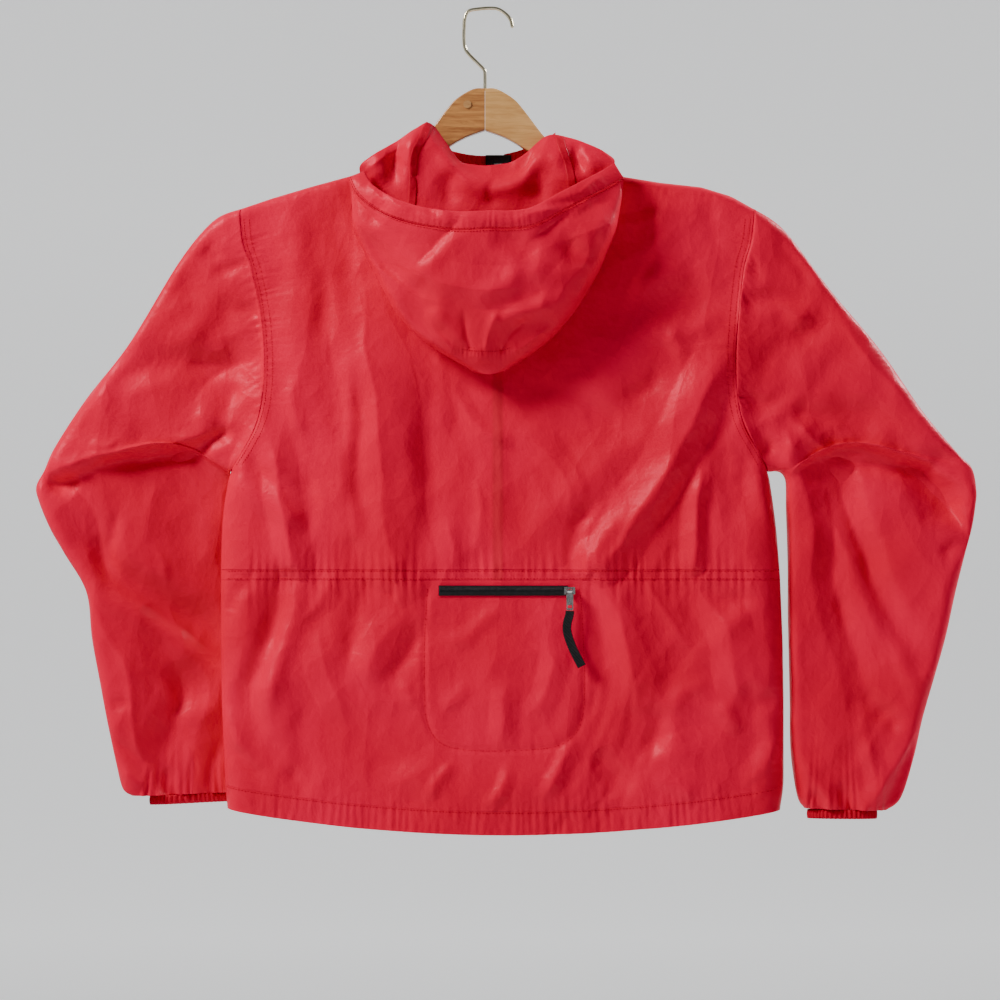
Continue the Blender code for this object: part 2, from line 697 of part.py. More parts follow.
def build_hood(casing_low):
    """The crown hangs from the casing; the nape lies between it and the back."""
    crown = []
    for t in HOOD_STATIONS:
        near = []
        for column, (low_x, low_y, low_z) in zip(HOOD_COLUMNS, casing_low):
            start = low_z - HOOD_SEAM_GAP
            z = between(start, HOOD_LOW_Z, t)
            left, right = hood_edges(z)
            blend = min(1.0, t / 0.14)
            x = between(low_x, between(left, right, column), blend * blend * (3 - 2 * blend))
            y = between(low_y, hood_outer(x, z), min(1.0, t / 0.24))
            near.append((x, y, z))
        crown.append(near)
    cloth("hood_crown", crown, turned=True)
    crest = [follow(HOOD_CREST, t) for t in CREST_STATIONS]
    neck = [on_neckline(t, -1, SEAM_GAP) for t in NAPE_STATIONS]
    collar = [(x, y - 0.6, z + 3.0) for x, y, z in neck]
    nape = [neck, collar]
    for part in (0.15, 0.5):
        row = []
        for column, low, high in zip(HOOD_COLUMNS, collar, crest):
            x, y, z = (between(a, b, part) for a, b in zip(low, high))
            outward = max(0.0, 1 - min(column, 1 - column) / 0.2)
            rise = NAPE_RISE * outward * math.sin(math.pi * part ** 0.6)
            row.append((x, y, z + rise))
        nape.append(row)
    nape.append(crest)
    for t in NAPE_ROWS:
        row = []
        for column, (crest_x, crest_y, crest_z) in zip(HOOD_COLUMNS, crest):
            z = between(crest_z, HOOD_LOW_Z, t)
            left, right = hood_edges(z)
            x = between(crest_x, between(left, right, column), min(1.0, t / 0.14))
            side = min(x - left, right - x)
            y = hood_fold_y(z) + NAPE_EDGE_Y + HOOD_BACK_Y * rounded(side, 9.0)
            row.append((x, between(crest_y, y, min(1.0, t / 0.06)), z))
        nape.append(row)
    cloth("hood_nape", nape)


# ---------------------------------------------------------------- zips
def strip_on_back(left, right, z, height, out):
    rows = []
    for drop in (-0.5, 0.5):
        level_z = z - height * drop
        rows.append([(between(left, right, i / 12),
                      -body_half(between(left, right, i / 12), level_z, BACK_FOLDS) - out, level_z)
                     for i in range(13)])
    return rows


def build_stow_pocket():
    rows = []
    for row in POCKET_ROWS:
        line = []
        for i in range(11):
            x = between(row.left, row.right, i / 10)
            line.append((x, -body_half(x, row.z, BACK_FOLDS) + WALL + POCKET_INSET, row.z))
        rows.append(line)
    cloth("stow_pocket", rows, turned=True)
    cloth("stow_zip_tape", strip_on_back(STOW_ZIP_LEFT, STOW_ZIP_RIGHT, STOW_ZIP_Z,
                                         STOW_ZIP_HEIGHT, WALL + TAPE_GAP), BLACK_TAPE, turned=True)


def front_tape_y(x, z):
    """Outer face of the front zip's tape, just inside the fronts."""
    if z > top_z(x):
        return neck_point(x, 1)[1] - WALL - TAPE_INSET
    return body_half(x, z, FRONT_FOLDS) - WALL - TAPE_INSET


def build_front_zip():
    """The tape runs inside both fronts, from the neck bands' top to the hem."""
    seam = SEAM_GAP / 2
    heights = [lambda x: FRONT_SLIDER_Z, level(top_z, armpit_line, 0.0)]
    heights += front_heights()[1:] + [level(lambda x: hem_top(x) - seam, hem_z, t) for t in (0.5, 0.96)]
    rows = []
    for height in heights:
        z = height(ZIP_X)
        places = [ZIP_X + ZIP_TAPE_WIDTH * share for share in (-0.5, -0.25, 0, 0.25, 0.5)]
        rows.append([(x, front_tape_y(x, z), z) for x in places])
    cloth("front_zip_tape", rows, BLACK_TAPE)


def box_mesh(work, centre, size):
    """Adds a box to a mesh in the making."""
    made = bmesh.ops.create_cube(work, size=1.0)
    for vertex in made["verts"]:
        vertex.co = [(c + a * s) * MM for c, a, s in zip(centre, vertex.co, size)]


def bar_mesh(work, centre, radius, length):
    """Adds a round bar along X."""
    made = bmesh.ops.create_cone(work, cap_ends=True, segments=14, radius1=radius * MM,
                                 radius2=radius * MM, depth=length * MM)
    for vertex in made["verts"]:
        x, y, z = vertex.co
        vertex.co = (centre[0] * MM + z, centre[1] * MM + y, centre[2] * MM - x)


def join_solids(name, adders, cutters, finish):
    """One body from solids that overlap, with others cut away."""
    whole = None
    for index, adder in enumerate(adders + cutters):
        work = bmesh.new()
        adder(work)
        mesh = bpy.data.meshes.new(name if index == 0 else name + "_tool")
        work.to_mesh(mesh)
        work.free()
        if index == 0:
            mesh.materials.append(new_material(name + "_finish", *finish))
            whole = bpy.data.objects.new(name, mesh)
            jacket.objects.link(whole)
            continue
        tool = bpy.data.objects.new(name + "_tool", mesh)
        tools.objects.link(tool)
        tool.hide_render = True
        tool.display_type = "WIRE"
        cut = whole.modifiers.new("shape", "BOOLEAN")
        cut.object = tool
        cut.solver = "EXACT"
        cut.operation = "UNION" if index < len(adders) else "DIFFERENCE"
    return whole


def build_pull(name, pivot):
    """A pull tab whose rolled eye turns on the slider's pin."""
    x, y, z = pivot
    low = z - PULL_LENGTH
    join_solids(
        name,
        [lambda work: bar_mesh(work, pivot, EYE_RADIUS, EYE_LENGTH),
         lambda work: box_mesh(work, (x, y, (z + low) / 2 - 0.5),
                               (PULL_WIDTH, PULL_THICK, PULL_LENGTH - 1.0))],
        [lambda work: bar_mesh(work, pivot, PIN_RADIUS + PIN_CLEARANCE, 3 * EYE_LENGTH),
         lambda work: box_mesh(work, (x, y, low + 4.0), (PULL_WIDTH - 3.0, 3 * PULL_THICK, 3.0)),
         lambda work: box_mesh(work, (x + EYE_LENGTH, y, z),
                               (EYE_LENGTH, 4 * EYE_RADIUS, 4 * EYE_RADIUS)),
         lambda work: box_mesh(work, (x - EYE_LENGTH, y, z),
                               (EYE_LENGTH, 4 * EYE_RADIUS, 4 * EYE_RADIUS))],
        SILVER)


def lugs_and_pin(pivot, base_y):
    """What carries a pull's eye: a lug at each end and the pin between them."""
    x, y, z = pivot
    reach = EYE_LENGTH / 2 + PIN_CLEARANCE + LUG / 2
    depth = abs(y - base_y) + LUG
    middle = (base_y + y + math.copysign(LUG, y - base_y)) / 2

    def lug(side):
        return lambda work: box_mesh(work, (x + side * reach, middle, z), (LUG, depth, 2 * LUG))

    return [lug(-1), lug(1), lambda work: bar_mesh(work, pivot, PIN_RADIUS, 2 * reach)]


def build_stow_slider():
    x, y, z = PULL_PIVOT
    face = min(-body_half(x + dx, STOW_ZIP_Z + dz, BACK_FOLDS)
               for dx in (-6, 0, 6) for dz in (-5, 0, 5)) - WALL - TAPE_GAP - LAYER_GAP
    plate = lambda work: box_mesh(work, (x, face - SLIDER_PLATE / 2, STOW_ZIP_Z),
                                  (STOW_SLIDER_SIZE[0], SLIDER_PLATE, STOW_SLIDER_SIZE[1]))
    join_solids("stow_slider", [plate] + lugs_and_pin(PULL_PIVOT, face - SLIDER_PLATE / 2), [], SILVER)
    build_pull("stow_pull_tab", PULL_PIVOT)
    build_webbing()


def build_webbing():
    """The webbing that hangs from the pull tab, cut straight at its end."""
    y = PULL_PIVOT[1]
    path = [(point.x, point.z) for point in WEBBING_PATH]
    rows = []
    for i in range(13):
        x, z = follow(path, i / 12)
        ahead = follow(path, min(1.0, i / 12 + 0.04))
        behind = follow(path, max(0.0, i / 12 - 0.04))
        run = (ahead[0] - behind[0], ahead[1] - behind[1])
        length = math.hypot(*run)
        across = (-run[1] / length * WEBBING_WIDTH / 2, run[0] / length * WEBBING_WIDTH / 2)
        rows.append([(x - across[0], y - WEBBING_THICK / 2, z - across[1]),
                     (x, y - WEBBING_THICK / 2, z),
                     (x + across[0], y - WEBBING_THICK / 2, z + across[1])])
    cloth("stow_pull_webbing", rows, BLACK_TAPE, turned=True, wall=WEBBING_THICK)


def build_front_slider():
    """Two plates that clasp the top of the tape, joined above it."""
    x, y, z = FRONT_PIVOT
    tape = front_tape_y(ZIP_X, FRONT_SLIDER_Z)
    outer = tape + SEAM_GAP + SLIDER_PLATE / 2
    inner = tape - WALL - SEAM_GAP - SLIDER_PLATE / 2
    top = FRONT_SLIDER_Z + SEAM_GAP
    plates = [
        lambda work: box_mesh(work, (x, outer, top - 4.0), (9.0, SLIDER_PLATE, 12.0)),
        lambda work: box_mesh(work, (x, inner, top - 3.0), (9.0, SLIDER_PLATE, 10.0)),
        lambda work: box_mesh(work, (x, (outer + inner) / 2, top + 1.0), (5.0, outer - inner, 2.0)),
    ]
    join_solids("front_slider", plates + lugs_and_pin(FRONT_PIVOT, outer), [], SILVER)
    build_pull("front_pull_tab", FRONT_PIVOT)


# ---------------------------------------------------------------- hanger
def build_hanger():
    under = [(p.x, p.z) for p in HANGER_UNDER]
    top = [(p.x, p.z) for p in HANGER_TOP]
    for side, sign, finish in (("left", -1, WOOD_DARK), ("right", 1, WOOD)):
        outline = [(HANGER_X + sign * max(x, SEAM_GAP / 2), z) for x, z in top + under]
        flat_outline("hanger_arm_" + side, outline, HANGER_THICK, 0.0, finish, 3.5)
    curve = bpy.data.curves.new("hanger_hook", "CURVE")
    curve.dimensions = "3D"
    curve.bevel_depth = WIRE / 2 * MM
    curve.bevel_resolution = 2
    curve.use_fill_caps = True
    spline = curve.splines.new("POLY")
    steps = 36
    spline.points.add(steps)
    path = [(p.x, p.z) for p in HOOK_PATH]
    for i, point in enumerate(spline.points):
        x, z = follow(path, i / steps)
        point.co = (x * MM, 0.0, z * MM, 1.0)
    hook = bpy.data.objects.new("hanger_hook", curve)
    jacket.objects.link(hook)
    curve.materials.append(new_material("hanger_hook_finish", *BRASS))
    bpy.ops.mesh.primitive_cylinder_add(
        vertices=20, radius=PLUG_RADIUS * MM, depth=PLUG_PROUD * MM,
        location=(PLUG.x * MM, -(HANGER_THICK / 2 + SEAM_GAP + PLUG_PROUD / 2) * MM, PLUG.z * MM),
        rotation=(math.pi / 2, 0.0, 0.0))
    plug = bpy.context.object
    plug.name = "hanger_plug"
    for holder in list(plug.users_collection):
        holder.objects.unlink(plug)
    jacket.objects.link(plug)
    plug.data.materials.append(new_material("hanger_plug_finish", *WOOD_DARK))


# ---------------------------------------------------------------- build it all
for old in list(bpy.data.objects):
    bpy.data.objects.remove(old)
jacket = bpy.data.collections.new("rain_jacket")
bpy.context.scene.collection.children.link(jacket)
tools = bpy.data.collections.new("cutters")
bpy.context.scene.collection.children.link(tools)

build_back()
build_fronts()
build_sleeve("left", LEFT_SLEEVE)
build_sleeve("right", RIGHT_SLEEVE)
build_cuff("left", LEFT_SLEEVE[-1])
build_cuff("right", RIGHT_SLEEVE[-1])
build_neck_bands()
build_hood(build_hood_casing())
build_stow_pocket()
build_stow_slider()
build_front_zip()
build_front_slider()
build_hanger()
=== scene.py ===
"""The looks of a hooded rain jacket on a wooden hanger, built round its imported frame.

Sizes are in millimetres until a mesh is made. The hook's rest point is the origin,
the jacket's back faces -Y, and +Z is up.
"""

import logging
import math
from dataclasses import dataclass
from enum import Enum
from typing import Callable

import bmesh
import bpy
import numpy as np
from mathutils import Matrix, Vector


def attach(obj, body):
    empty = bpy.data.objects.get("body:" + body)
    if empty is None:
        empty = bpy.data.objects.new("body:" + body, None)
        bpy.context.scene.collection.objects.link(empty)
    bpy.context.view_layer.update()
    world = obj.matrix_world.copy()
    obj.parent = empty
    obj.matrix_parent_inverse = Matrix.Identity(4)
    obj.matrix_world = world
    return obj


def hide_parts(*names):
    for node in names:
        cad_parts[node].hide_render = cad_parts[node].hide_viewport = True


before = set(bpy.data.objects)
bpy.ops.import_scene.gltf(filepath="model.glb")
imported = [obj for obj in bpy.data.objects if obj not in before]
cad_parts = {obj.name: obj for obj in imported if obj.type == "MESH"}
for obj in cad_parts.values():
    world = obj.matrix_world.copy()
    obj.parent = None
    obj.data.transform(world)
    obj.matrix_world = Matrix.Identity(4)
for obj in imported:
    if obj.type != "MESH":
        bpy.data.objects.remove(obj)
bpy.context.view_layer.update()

Array = np.ndarray
Heights = Callable[[Array], Array]
Material = bpy.types.Material
Mesh = bpy.types.Mesh
Socket = bpy.types.NodeSocket
Thing = bpy.types.Object

LOG = logging.getLogger("jacket")
MM = 0.001
STEP = 1.1                    # millimetres in one step of a crease's drawing
DRAWING_X = 490.0             # the drawing's steps at the origin
DRAWING_Z = 10.0
LATTICE = 64                  # cells of random relief before they repeat
LATTICE_START = 1000.0        # cells added so that their numbers stay positive
SHOULDER_TIP_Z = -219.0
ARMHOLE_SEWN = (-232, -500)   # the heights between which the armholes' stitches run
THREAD_OUT = 0.12             # how far stitches stand out from the cloth
SEWN_IN = 1.6                 # how far under a casing's edge its stitches run
PANEL_GAP = 0.15              # half the gap between two panels at a seam
END_SHARE = 0.35              # the part of a crease over which each of its ends fades
UP_Y = np.array((0, 1, 0))
CAP_ANGLES = (0.5, 1.1)       # where a tube's rounded end has its rings, in radians


# ------------------------------------------------------------------ small sums
def mix(a: Array, b: Array, t: Array) -> Array:
    """The value at share t of the way from a to b."""
    return a + (b - a) * t


def rounded(distance: Array, radius: float) -> Array:
    """Rises from 0 at an edge to 1 at the radius, as a quarter circle does."""
    t = 1.0 - np.clip(distance, 0.0, radius) / radius
    return np.sqrt(np.maximum(0.0, 1.0 - t * t))


def smooth(t: Array) -> Array:
    """An even rise from 0 to 1."""
    t = np.clip(t, 0.0, 1.0)
    return t * t * (3 - 2 * t)


def follow(points: Array, t: Array) -> Array:
    """Points of a smooth curve through others (Catmull-Rom).

    Args:
        points: the points, along the first axis.
        t: shares of the way, from 0 to 1.

    Returns:
        One point for each share, along the first axis.
    """
    points = np.asarray(points, float)
    last = len(points) - 1
    place = np.clip(np.asarray(t, float), 0.0, 1.0) * last
    i = np.minimum(place.astype(int), last - 1)
    f = (place - i).reshape((-1,) + (1,) * (points.ndim - 1))
    a, b = points[np.maximum(i - 1, 0)], points[i]
    c, d = points[i + 1], points[np.minimum(i + 2, last)]
    return 0.5 * (2 * b + (c - a) * f + (2 * a - 5 * b + 4 * c - d) * f ** 2
                  + (3 * b - a - 3 * c + d) * f ** 3)


def wobble(s: Array, length: float, seed: int) -> Array:
    """An uneven wave of one variable, from about -1 to 1.

    Args:
        s: where it is read.
        length: the usual distance from crest to crest.
        seed: which wave.

    Returns:
        The wave's height there.
    """
    turns = np.random.default_rng(seed).uniform(0, 2 * math.pi, 4)
    rate = 2 * math.pi / length
    return (np.sin(rate * s + turns[0]) + 0.7 * np.sin(rate * 0.57 * s + turns[1])
            + 0.5 * np.sin(rate * 1.63 * s + turns[2]) + 0.4 * np.sin(rate * 0.31 * s + turns[3])) / 2.2


def cells(gx: Array, gz: Array, seed: int) -> tuple:
    """Looks places up in a lattice of random values from -1 to 1.

    Args:
        gx, gz: the places, counted in cells.
        seed: which lattice.

    Returns:
        The values at each cell's lower left, lower right, upper left and upper right
        corner, and how far the place is across and up inside it.
    """
    lattice = np.random.default_rng(seed).uniform(-1, 1, (LATTICE, LATTICE))
    gx, gz = gx + LATTICE_START, gz + LATTICE_START
    ix, iz = np.floor(gx).astype(int), np.floor(gz).astype(int)
    fx, fz = gx - ix, gz - iz
    ix, iz, jx, jz = ix % LATTICE, iz % LATTICE, (ix + 1) % LATTICE, (iz + 1) % LATTICE
    return lattice[ix, iz], lattice[jx, iz], lattice[ix, jz], lattice[jx, jz], fx, fz


def noise(x: Array, z: Array, size: float, seed: int) -> Array:
    """Soft hills and hollows over a plane, from -1 to 1.

    Args:
        x, z: where they are read.
        size: the distance between lattice points.
        seed: which pattern.

    Returns:
        The height at each place.
    """
    low, right, up, high, fx, fz = cells(np.asarray(x) / size, np.asarray(z) / size, seed)
    fx, fz = smooth(fx), smooth(fz)
    return mix(mix(low, right, fx), mix(up, high, fx), fz)


def crumple(x: Array, z: Array, size: float, seed: int) -> Array:
    """Sharp-edged small wrinkles, as crisp nylon has, from 0 to 1.

    Args:
        x, z: the places.
        size: how far apart they are.
        seed: which pattern.

    Returns:
        The height at each place.
    """
    wx = x + 0.45 * size * noise(x, z, size * 0.9, seed + 1)
    wz = z + 0.45 * size * noise(x, z, size * 0.9, seed + 2)
    return (1.0 - np.abs(noise(wx, wz, size, seed)) * 1.6) ** 2


def facets(x: Array, z: Array, size: float, seed: int, tall: float = 1.7) -> Array:
    """Flat planes that meet in crisp edges, as stiff thin nylon breaks into, from -1 to 1.

    Args:
        x, z: where they are read.
        size: how wide the planes are.
        seed: which pattern.
        tall: how much longer they are than wide.

    Returns:
        The height at each place.
    """
    lean = 0.35 * noise(x, z, 5 * size, seed + 3)
    gx = (x + lean * z * 0.4) / size + 0.85 * noise(x, z, 1.6 * size, seed + 1)
    gz = z / (tall * size) + 0.85 * noise(x, z, 1.6 * size, seed + 2)
    low, right, up, high, fx, fz = cells(gx, gz, seed)
    first = low + fx * (right - low) + fz * (high - right)
    second = low + fz * (up - low) + fx * (high - up)
    return np.where(fx > fz, first, second)


def cloth_crumple(x: Array, z: Array, seed: int) -> Array:
    """The small uneven relief all over the nylon, in mm.

    Args:
        x, z: the places.
        seed: which pattern.

    Returns:
        The height at each place.
    """
    where = 0.55 + 0.45 * noise(x, z, 120, seed + 40)
    lean = mix(0.13, -0.45, smooth((x + 60.0) / 260.0))
    x = x + lean * (z + 560.0)
    return (2.5 * facets(x, z, 66, seed, 2.3) + 1.2 * where * facets(x, z, 31, seed + 5, 1.7)
            + 0.35 * where * facets(x, z, 15, seed + 10, 1.2) + 0.12 * where * crumple(x, z, 9, seed + 13))


@dataclass(frozen=True)
class Table:
    """Rows of named columns, read in straight runs along the first column."""

    columns: str
    rows: tuple

    def column(self, name: str) -> Array:
        """One column's values, in the table's order."""
        return np.array([row[self.columns.split().index(name)] for row in self.rows], float)

    def read(self, name: str, value: Array, blur: float = 0.0) -> Array:
        """A column's value where the first column has the given value.

        Args:
            name: the column.
            value: the first column's value, a number or an array.
            blur: the distance over which corners are softened.

        Returns:
            The column's value there.
        """
        key = self.column(self.columns.split()[0])
        order = np.argsort(key)
        steps = (-1.0, -0.5, 0.0, 0.5, 1.0) if blur else (0.0,)
        return sum(np.interp(value + blur * s, key[order], self.column(name)[order])
                   for s in steps) / len(steps)


# ------------------------------------------------------------------ creases
class Profile(Enum):
    """The section of a crease."""

    SOFT = "soft"          # a rounded ridge or trough
    PINCH = "pinch"        # a sharp crest
    FACET = "facet"        # a crest from which a flat slope falls on the path's left


@dataclass(frozen=True)
class Trail:
    """A line drawn on the jacket, in steps right and down from the drawing's corner."""

    path: tuple

    def points(self) -> Array:
        """The smooth line's points in X and Z.

        Returns:
            One row for each point, in mm.
        """
        drawn = np.array(self.path, float)
        placed = np.column_stack(((drawn[:, 0] - DRAWING_X) * STEP, (DRAWING_Z - drawn[:, 1]) * STEP))
        return follow(placed, np.linspace(0, 1, 3 * (len(placed) - 1) + 1)) if len(placed) > 2 else placed

    def measure(self, x: Array, z: Array) -> tuple:
        """How places lie to the line.

        Args:
            x, z: the places.

        Returns:
            The distance, positive on the line's left, the way along it, and its length.
        """
        line = self.points()
        best = np.full(np.shape(x), 1e12)
        signed, along = np.zeros(np.shape(x)), np.zeros(np.shape(x))
        total = 0.0
        for a, b in zip(line, line[1:]):
            run = b - a
            length = float(np.hypot(*run))
            t = np.clip(((x - a[0]) * run[0] + (z - a[1]) * run[1]) / length ** 2, 0, 1)
            dx, dz = x - a[0] - t * run[0], z - a[1] - t * run[1]
            away = dx * dx + dz * dz
            near = away < best
            best = np.where(near, away, best)
            signed = np.where(near, np.where(run[0] * dz - run[1] * dx > 0, 1, -1) * np.sqrt(away), signed)
            along = np.where(near, total + t * length, along)
            total += length
        return signed, along, total


@dataclass(frozen=True)
class Crease:
    """A ridge (height > 0) or trough along a drawn line."""

    path: tuple
    width: float
    height: float
    profile: Profile = Profile.SOFT
    ends: tuple = (0.0, 0.0)

    def relief(self, x: Array, z: Array) -> Array:
        """The height it adds.

        Args:
            x, z: the places.

        Returns:
            The height at each place, in mm.
        """
        away, along, total = Trail(self.path).measure(x, z)
        away = away + 0.12 * self.width * wobble(along, 3.0 * self.width + 20, int(self.path[0][0]))
        share = along / total
        strength = (mix(self.ends[0], 1, smooth(share / END_SHARE))
                    * mix(self.ends[1], 1, smooth((1 - share) / END_SHARE)))
        if self.profile is Profile.SOFT:
            form = np.exp(-(away / self.width) ** 2)
        elif self.profile is Profile.PINCH:
            form = np.exp(-np.sqrt(away ** 2 + 1.0) / self.width)
        else:
            fall = np.clip(1 - away / self.width, 0, 1)
            form = np.where(away > 0, fall, np.clip(1 + away / (0.8 * self.width), 0, 1))
        return self.height * strength * form


def drawn(table: str) -> tuple:
    """Reads creases from a table.

    Args:
        table: a heading, then a row for each crease: its width, its height, its profile, the
            share of its height at its start and at its end, and its path as x,z steps.

    Returns:
        The creases, in the table's order.
    """
    creases = []
    for row in table.splitlines()[1:]:
        width, height, profile, start, end, *path = row.split()
        points = tuple(tuple(float(step) for step in point.split(",")) for point in path)
        ends = (float(start), float(end))
        creases.append(Crease(points, float(width), float(height), Profile(profile), ends))
    return tuple(creases)


@dataclass(frozen=True)
class Gather:
    """Small folds across a sewn line, as its shrunken thread draws up."""

    path: tuple
    height: float
    pitch: float
    reach: float
    seed: int = 0

    def relief(self, x: Array, z: Array) -> Array:
        """The height it adds.

        Args:
            x, z: the places.

        Returns:
            The height at each place, in mm.
        """
        away, along, _ = Trail(self.path).measure(x, z)
        away = np.abs(away)
        turn = 2 * math.pi * along / self.pitch + 2.2 * wobble(along, 4.1 * self.pitch, self.seed)
        lean = 0.5 * wobble(along, 6.0 * self.pitch, self.seed + 1) * away / self.pitch
        depth = 0.62 + 0.38 * wobble(along, 5.0 * self.pitch, self.seed + 2)
        reach = self.reach * (1 + 0.55 * wobble(along, 2.3 * self.pitch, self.seed + 3))
        return self.height * depth * np.sin(turn + lean) * np.exp(-away / np.maximum(reach, 1.0))


def relief(marks: tuple, x: Array, z: Array) -> Array:
    """The height of several creases and gathers together.

    Args:
        marks: the creases and gathers.
        x, z: the places.

    Returns:
        The height at each place, in mm.
    """
    total = np.zeros(np.shape(x))
    for mark in marks:
        total = total + mark.relief(x, z)
    return total


def edged(count: int, border: float = 0.05, inner: int = 8) -> Array:
    """Shares from 0 to 1, crowded towards both ends.

    Args:
        count: how many even steps lie between the borders.
        border: the crowded share at each end.
        inner: how many steps each border has.

    Returns:
        The shares, rising.
    """
    start = border * (np.arange(inner) / inner) ** 2
    return np.concatenate((start, np.linspace(border, 1 - border, count + 1), 1 - start[::-1]))


# ------------------------------------------------------------------ finishes
class Graph:
    """A material's nodes, made by short calls."""

    def __init__(self, name: str) -> None:
        """Starts a material with one Principled shader.

        Args:
            name: the material's name.
        """
        self.material = bpy.data.materials.new(name)
        self.material.use_nodes = True
        self.tree = self.material.node_tree
        self.shader = next(n for n in self.tree.nodes if n.type == "BSDF_PRINCIPLED")
        self.place = self.add("ShaderNodeTexCoord").outputs["Object"]

    def add(self, kind: str, inputs: dict | None = None, **settings) -> bpy.types.Node:
        """Adds a node.

        Args:
            kind: Blender's name for it.
            inputs: values or sockets for its inputs, by name or number.
            settings: the node's own properties.

        Returns:
            The node.
        """
        node = self.tree.nodes.new(kind)
        for key, value in settings.items():
            setattr(node, key, value)
        for key, value in (inputs or {}).items():
            if isinstance(value, Socket):
                self.tree.links.new(value, node.inputs[key])
            else:
                node.inputs[key].default_value = value
        return node

    def set(self, **values) -> None:
        """Sets the shader's inputs; an underscore in a name stands for a space.

        Args:
            values: numbers, colours or sockets, by the inputs' names.
        """
        for key, value in values.items():
            socket = self.shader.inputs[key.replace("_", " ")]
            if isinstance(value, Socket):
                self.tree.links.new(value, socket)
            else:
                socket.default_value = value

    def noise(self, scale: float, detail: float = 2.0, rough: float = 0.5, stretch: tuple = (1, 1, 1),
              **settings) -> Socket:
        """A noise's strength, with its scale in 1/m and a stretch for each axis.

        Args:
            scale: the noise's scale in 1/m.
            detail: how many finer layers it has.
            rough: how strong those are.
            stretch: a factor for each axis.
            settings: the texture node's own properties.

        Returns:
            The noise's strength.
        """
        place = self.add("ShaderNodeMapping", {"Vector": self.place, "Scale": stretch}).outputs[0]
        inputs = {"Vector": place, "Scale": scale, "Detail": detail, "Roughness": rough}
        return self.add("ShaderNodeTexNoise", inputs, **settings).outputs[0]

    def creased(self, scale: float, stretch: tuple, warp: float) -> Socket:
        """Cells that meet in crisp edges, bent by a soft warp in metres.

        Args:
            scale: cells in a metre.
            stretch: a factor for each axis.
            warp: how far they are bent.

        Returns:
            The distance to each cell's middle.
        """
        inputs = {"Vector": self.place, "Scale": 0.25 / warp, "Detail": 1.0}
        soft = self.add("ShaderNodeTexNoise", inputs).outputs[1]
        bent = self.add("ShaderNodeVectorMath", {0: soft, 1: (warp, warp, warp), 2: self.place},
                        operation="MULTIPLY_ADD").outputs[0]
        place = self.add("ShaderNodeMapping", {"Vector": bent, "Scale": stretch}).outputs[0]
        return self.add("ShaderNodeTexVoronoi", {"Vector": place, "Scale": scale}).outputs["Distance"]

    def ramp(self, strength: Socket, low: tuple, high: tuple, start: float = 0.35,
             end: float = 0.65) -> Socket:
        """A colour between two others.

        Args:
            strength: the share of the way between them.
            low, high: the two colours.
            start, end: the strengths at which they are reached.

        Returns:
            The colour.
        """
        node = self.add("ShaderNodeValToRGB", {"Fac": strength})
        node.color_ramp.elements[0].position, node.color_ramp.elements[1].position = start, end
        node.color_ramp.elements[0].color, node.color_ramp.elements[1].color = (*low, 1), (*high, 1)
        return node.outputs["Color"]

    def span(self, strength: Socket, low: float, high: float, start: float = 0.0,
             end: float = 1.0) -> Socket:
        """A number between two others.

        Args:
            strength: what the number follows.
            low, high: the two numbers.
            start, end: the strengths at which they are reached.

        Returns:
            The number.
        """
        inputs = {"Value": strength, "From Min": start, "From Max": end, "To Min": low, "To Max": high}
        return self.add("ShaderNodeMapRange", inputs).outputs[0]

    def bump(self, height: Socket, distance: float, over: Socket | None = None) -> Socket:
        """A bumped normal, on top of another where one is given.

        Args:
            height: the bump's pattern.
            distance: its height in metres.
            over: the normal it lies on.

        Returns:
            The normal.
        """
        inputs = {"Height": height, "Distance": distance, "Strength": 1.0}
        if over is not None:
            inputs["Normal"] = over
        return self.add("ShaderNodeBump", inputs).outputs[0]


@dataclass(frozen=True)
class Nylon:
    """Thin glossy nylon taffeta."""

    name: str
    colour: tuple = (0.84, 0.0003, 0.048)
    deep: tuple = (0.74, 0.0003, 0.036)
    roughness: float = 0.40
    zip_shadow: bool = False

    def make(self) -> Material:
        """Builds the material.

        Returns:
            The finished material.
        """
        g = Graph(self.name)
        colour = g.ramp(g.noise(7.0, 1.0), self.deep, self.colour)
        if self.zip_shadow:
            colour = self.shadowed(g, colour)
        normal = g.bump(g.creased(15.0, (1.0, 1.0, 0.6), 0.05), 0.0058)
        normal = g.bump(g.creased(38.0, (1.0, 1.0, 0.7), 0.022), 0.0019, normal)
        normal = g.bump(g.noise(150.0, 2.0), 0.0006, normal)
        rough = g.span(g.noise(55.0, 0.0), self.roughness - 0.06, self.roughness + 0.08)
        g.set(Base_Color=colour, Roughness=rough, Normal=normal, Specular_IOR_Level=0.30,
              Specular_Tint=(1.0, 0.2, 0.25, 1.0))
        return g.material

    @staticmethod
    def shadowed(g: Graph, colour: Socket) -> Socket:
        """Darkens the cloth a little where the front zip's tape shows through it.

        Args:
            g: the material in the making.
            colour: its colour so far.

        Returns:
            The colour with the faint band.
        """
        split = g.add("ShaderNodeSeparateXYZ", {0: g.place})
        away = g.add("ShaderNodeMath", {0: split.outputs["X"], 1: 0.0085}, operation="SUBTRACT").outputs[0]
        away = g.add("ShaderNodeMath", {0: away}, operation="ABSOLUTE").outputs[0]
        across = g.span(away, 0.30, 0.0, 0.004, 0.0075)
        down = g.span(split.outputs["Z"], 1.0, 0.0, -0.41, -0.38)
        mask = g.add("ShaderNodeMath", {0: across, 1: down}, operation="MULTIPLY").outputs[0]
        inputs = {0: mask, 6: colour, 7: (0.30, 0.030, 0.022, 1.0)}
        return g.add("ShaderNodeMix", inputs, data_type="RGBA").outputs[2]


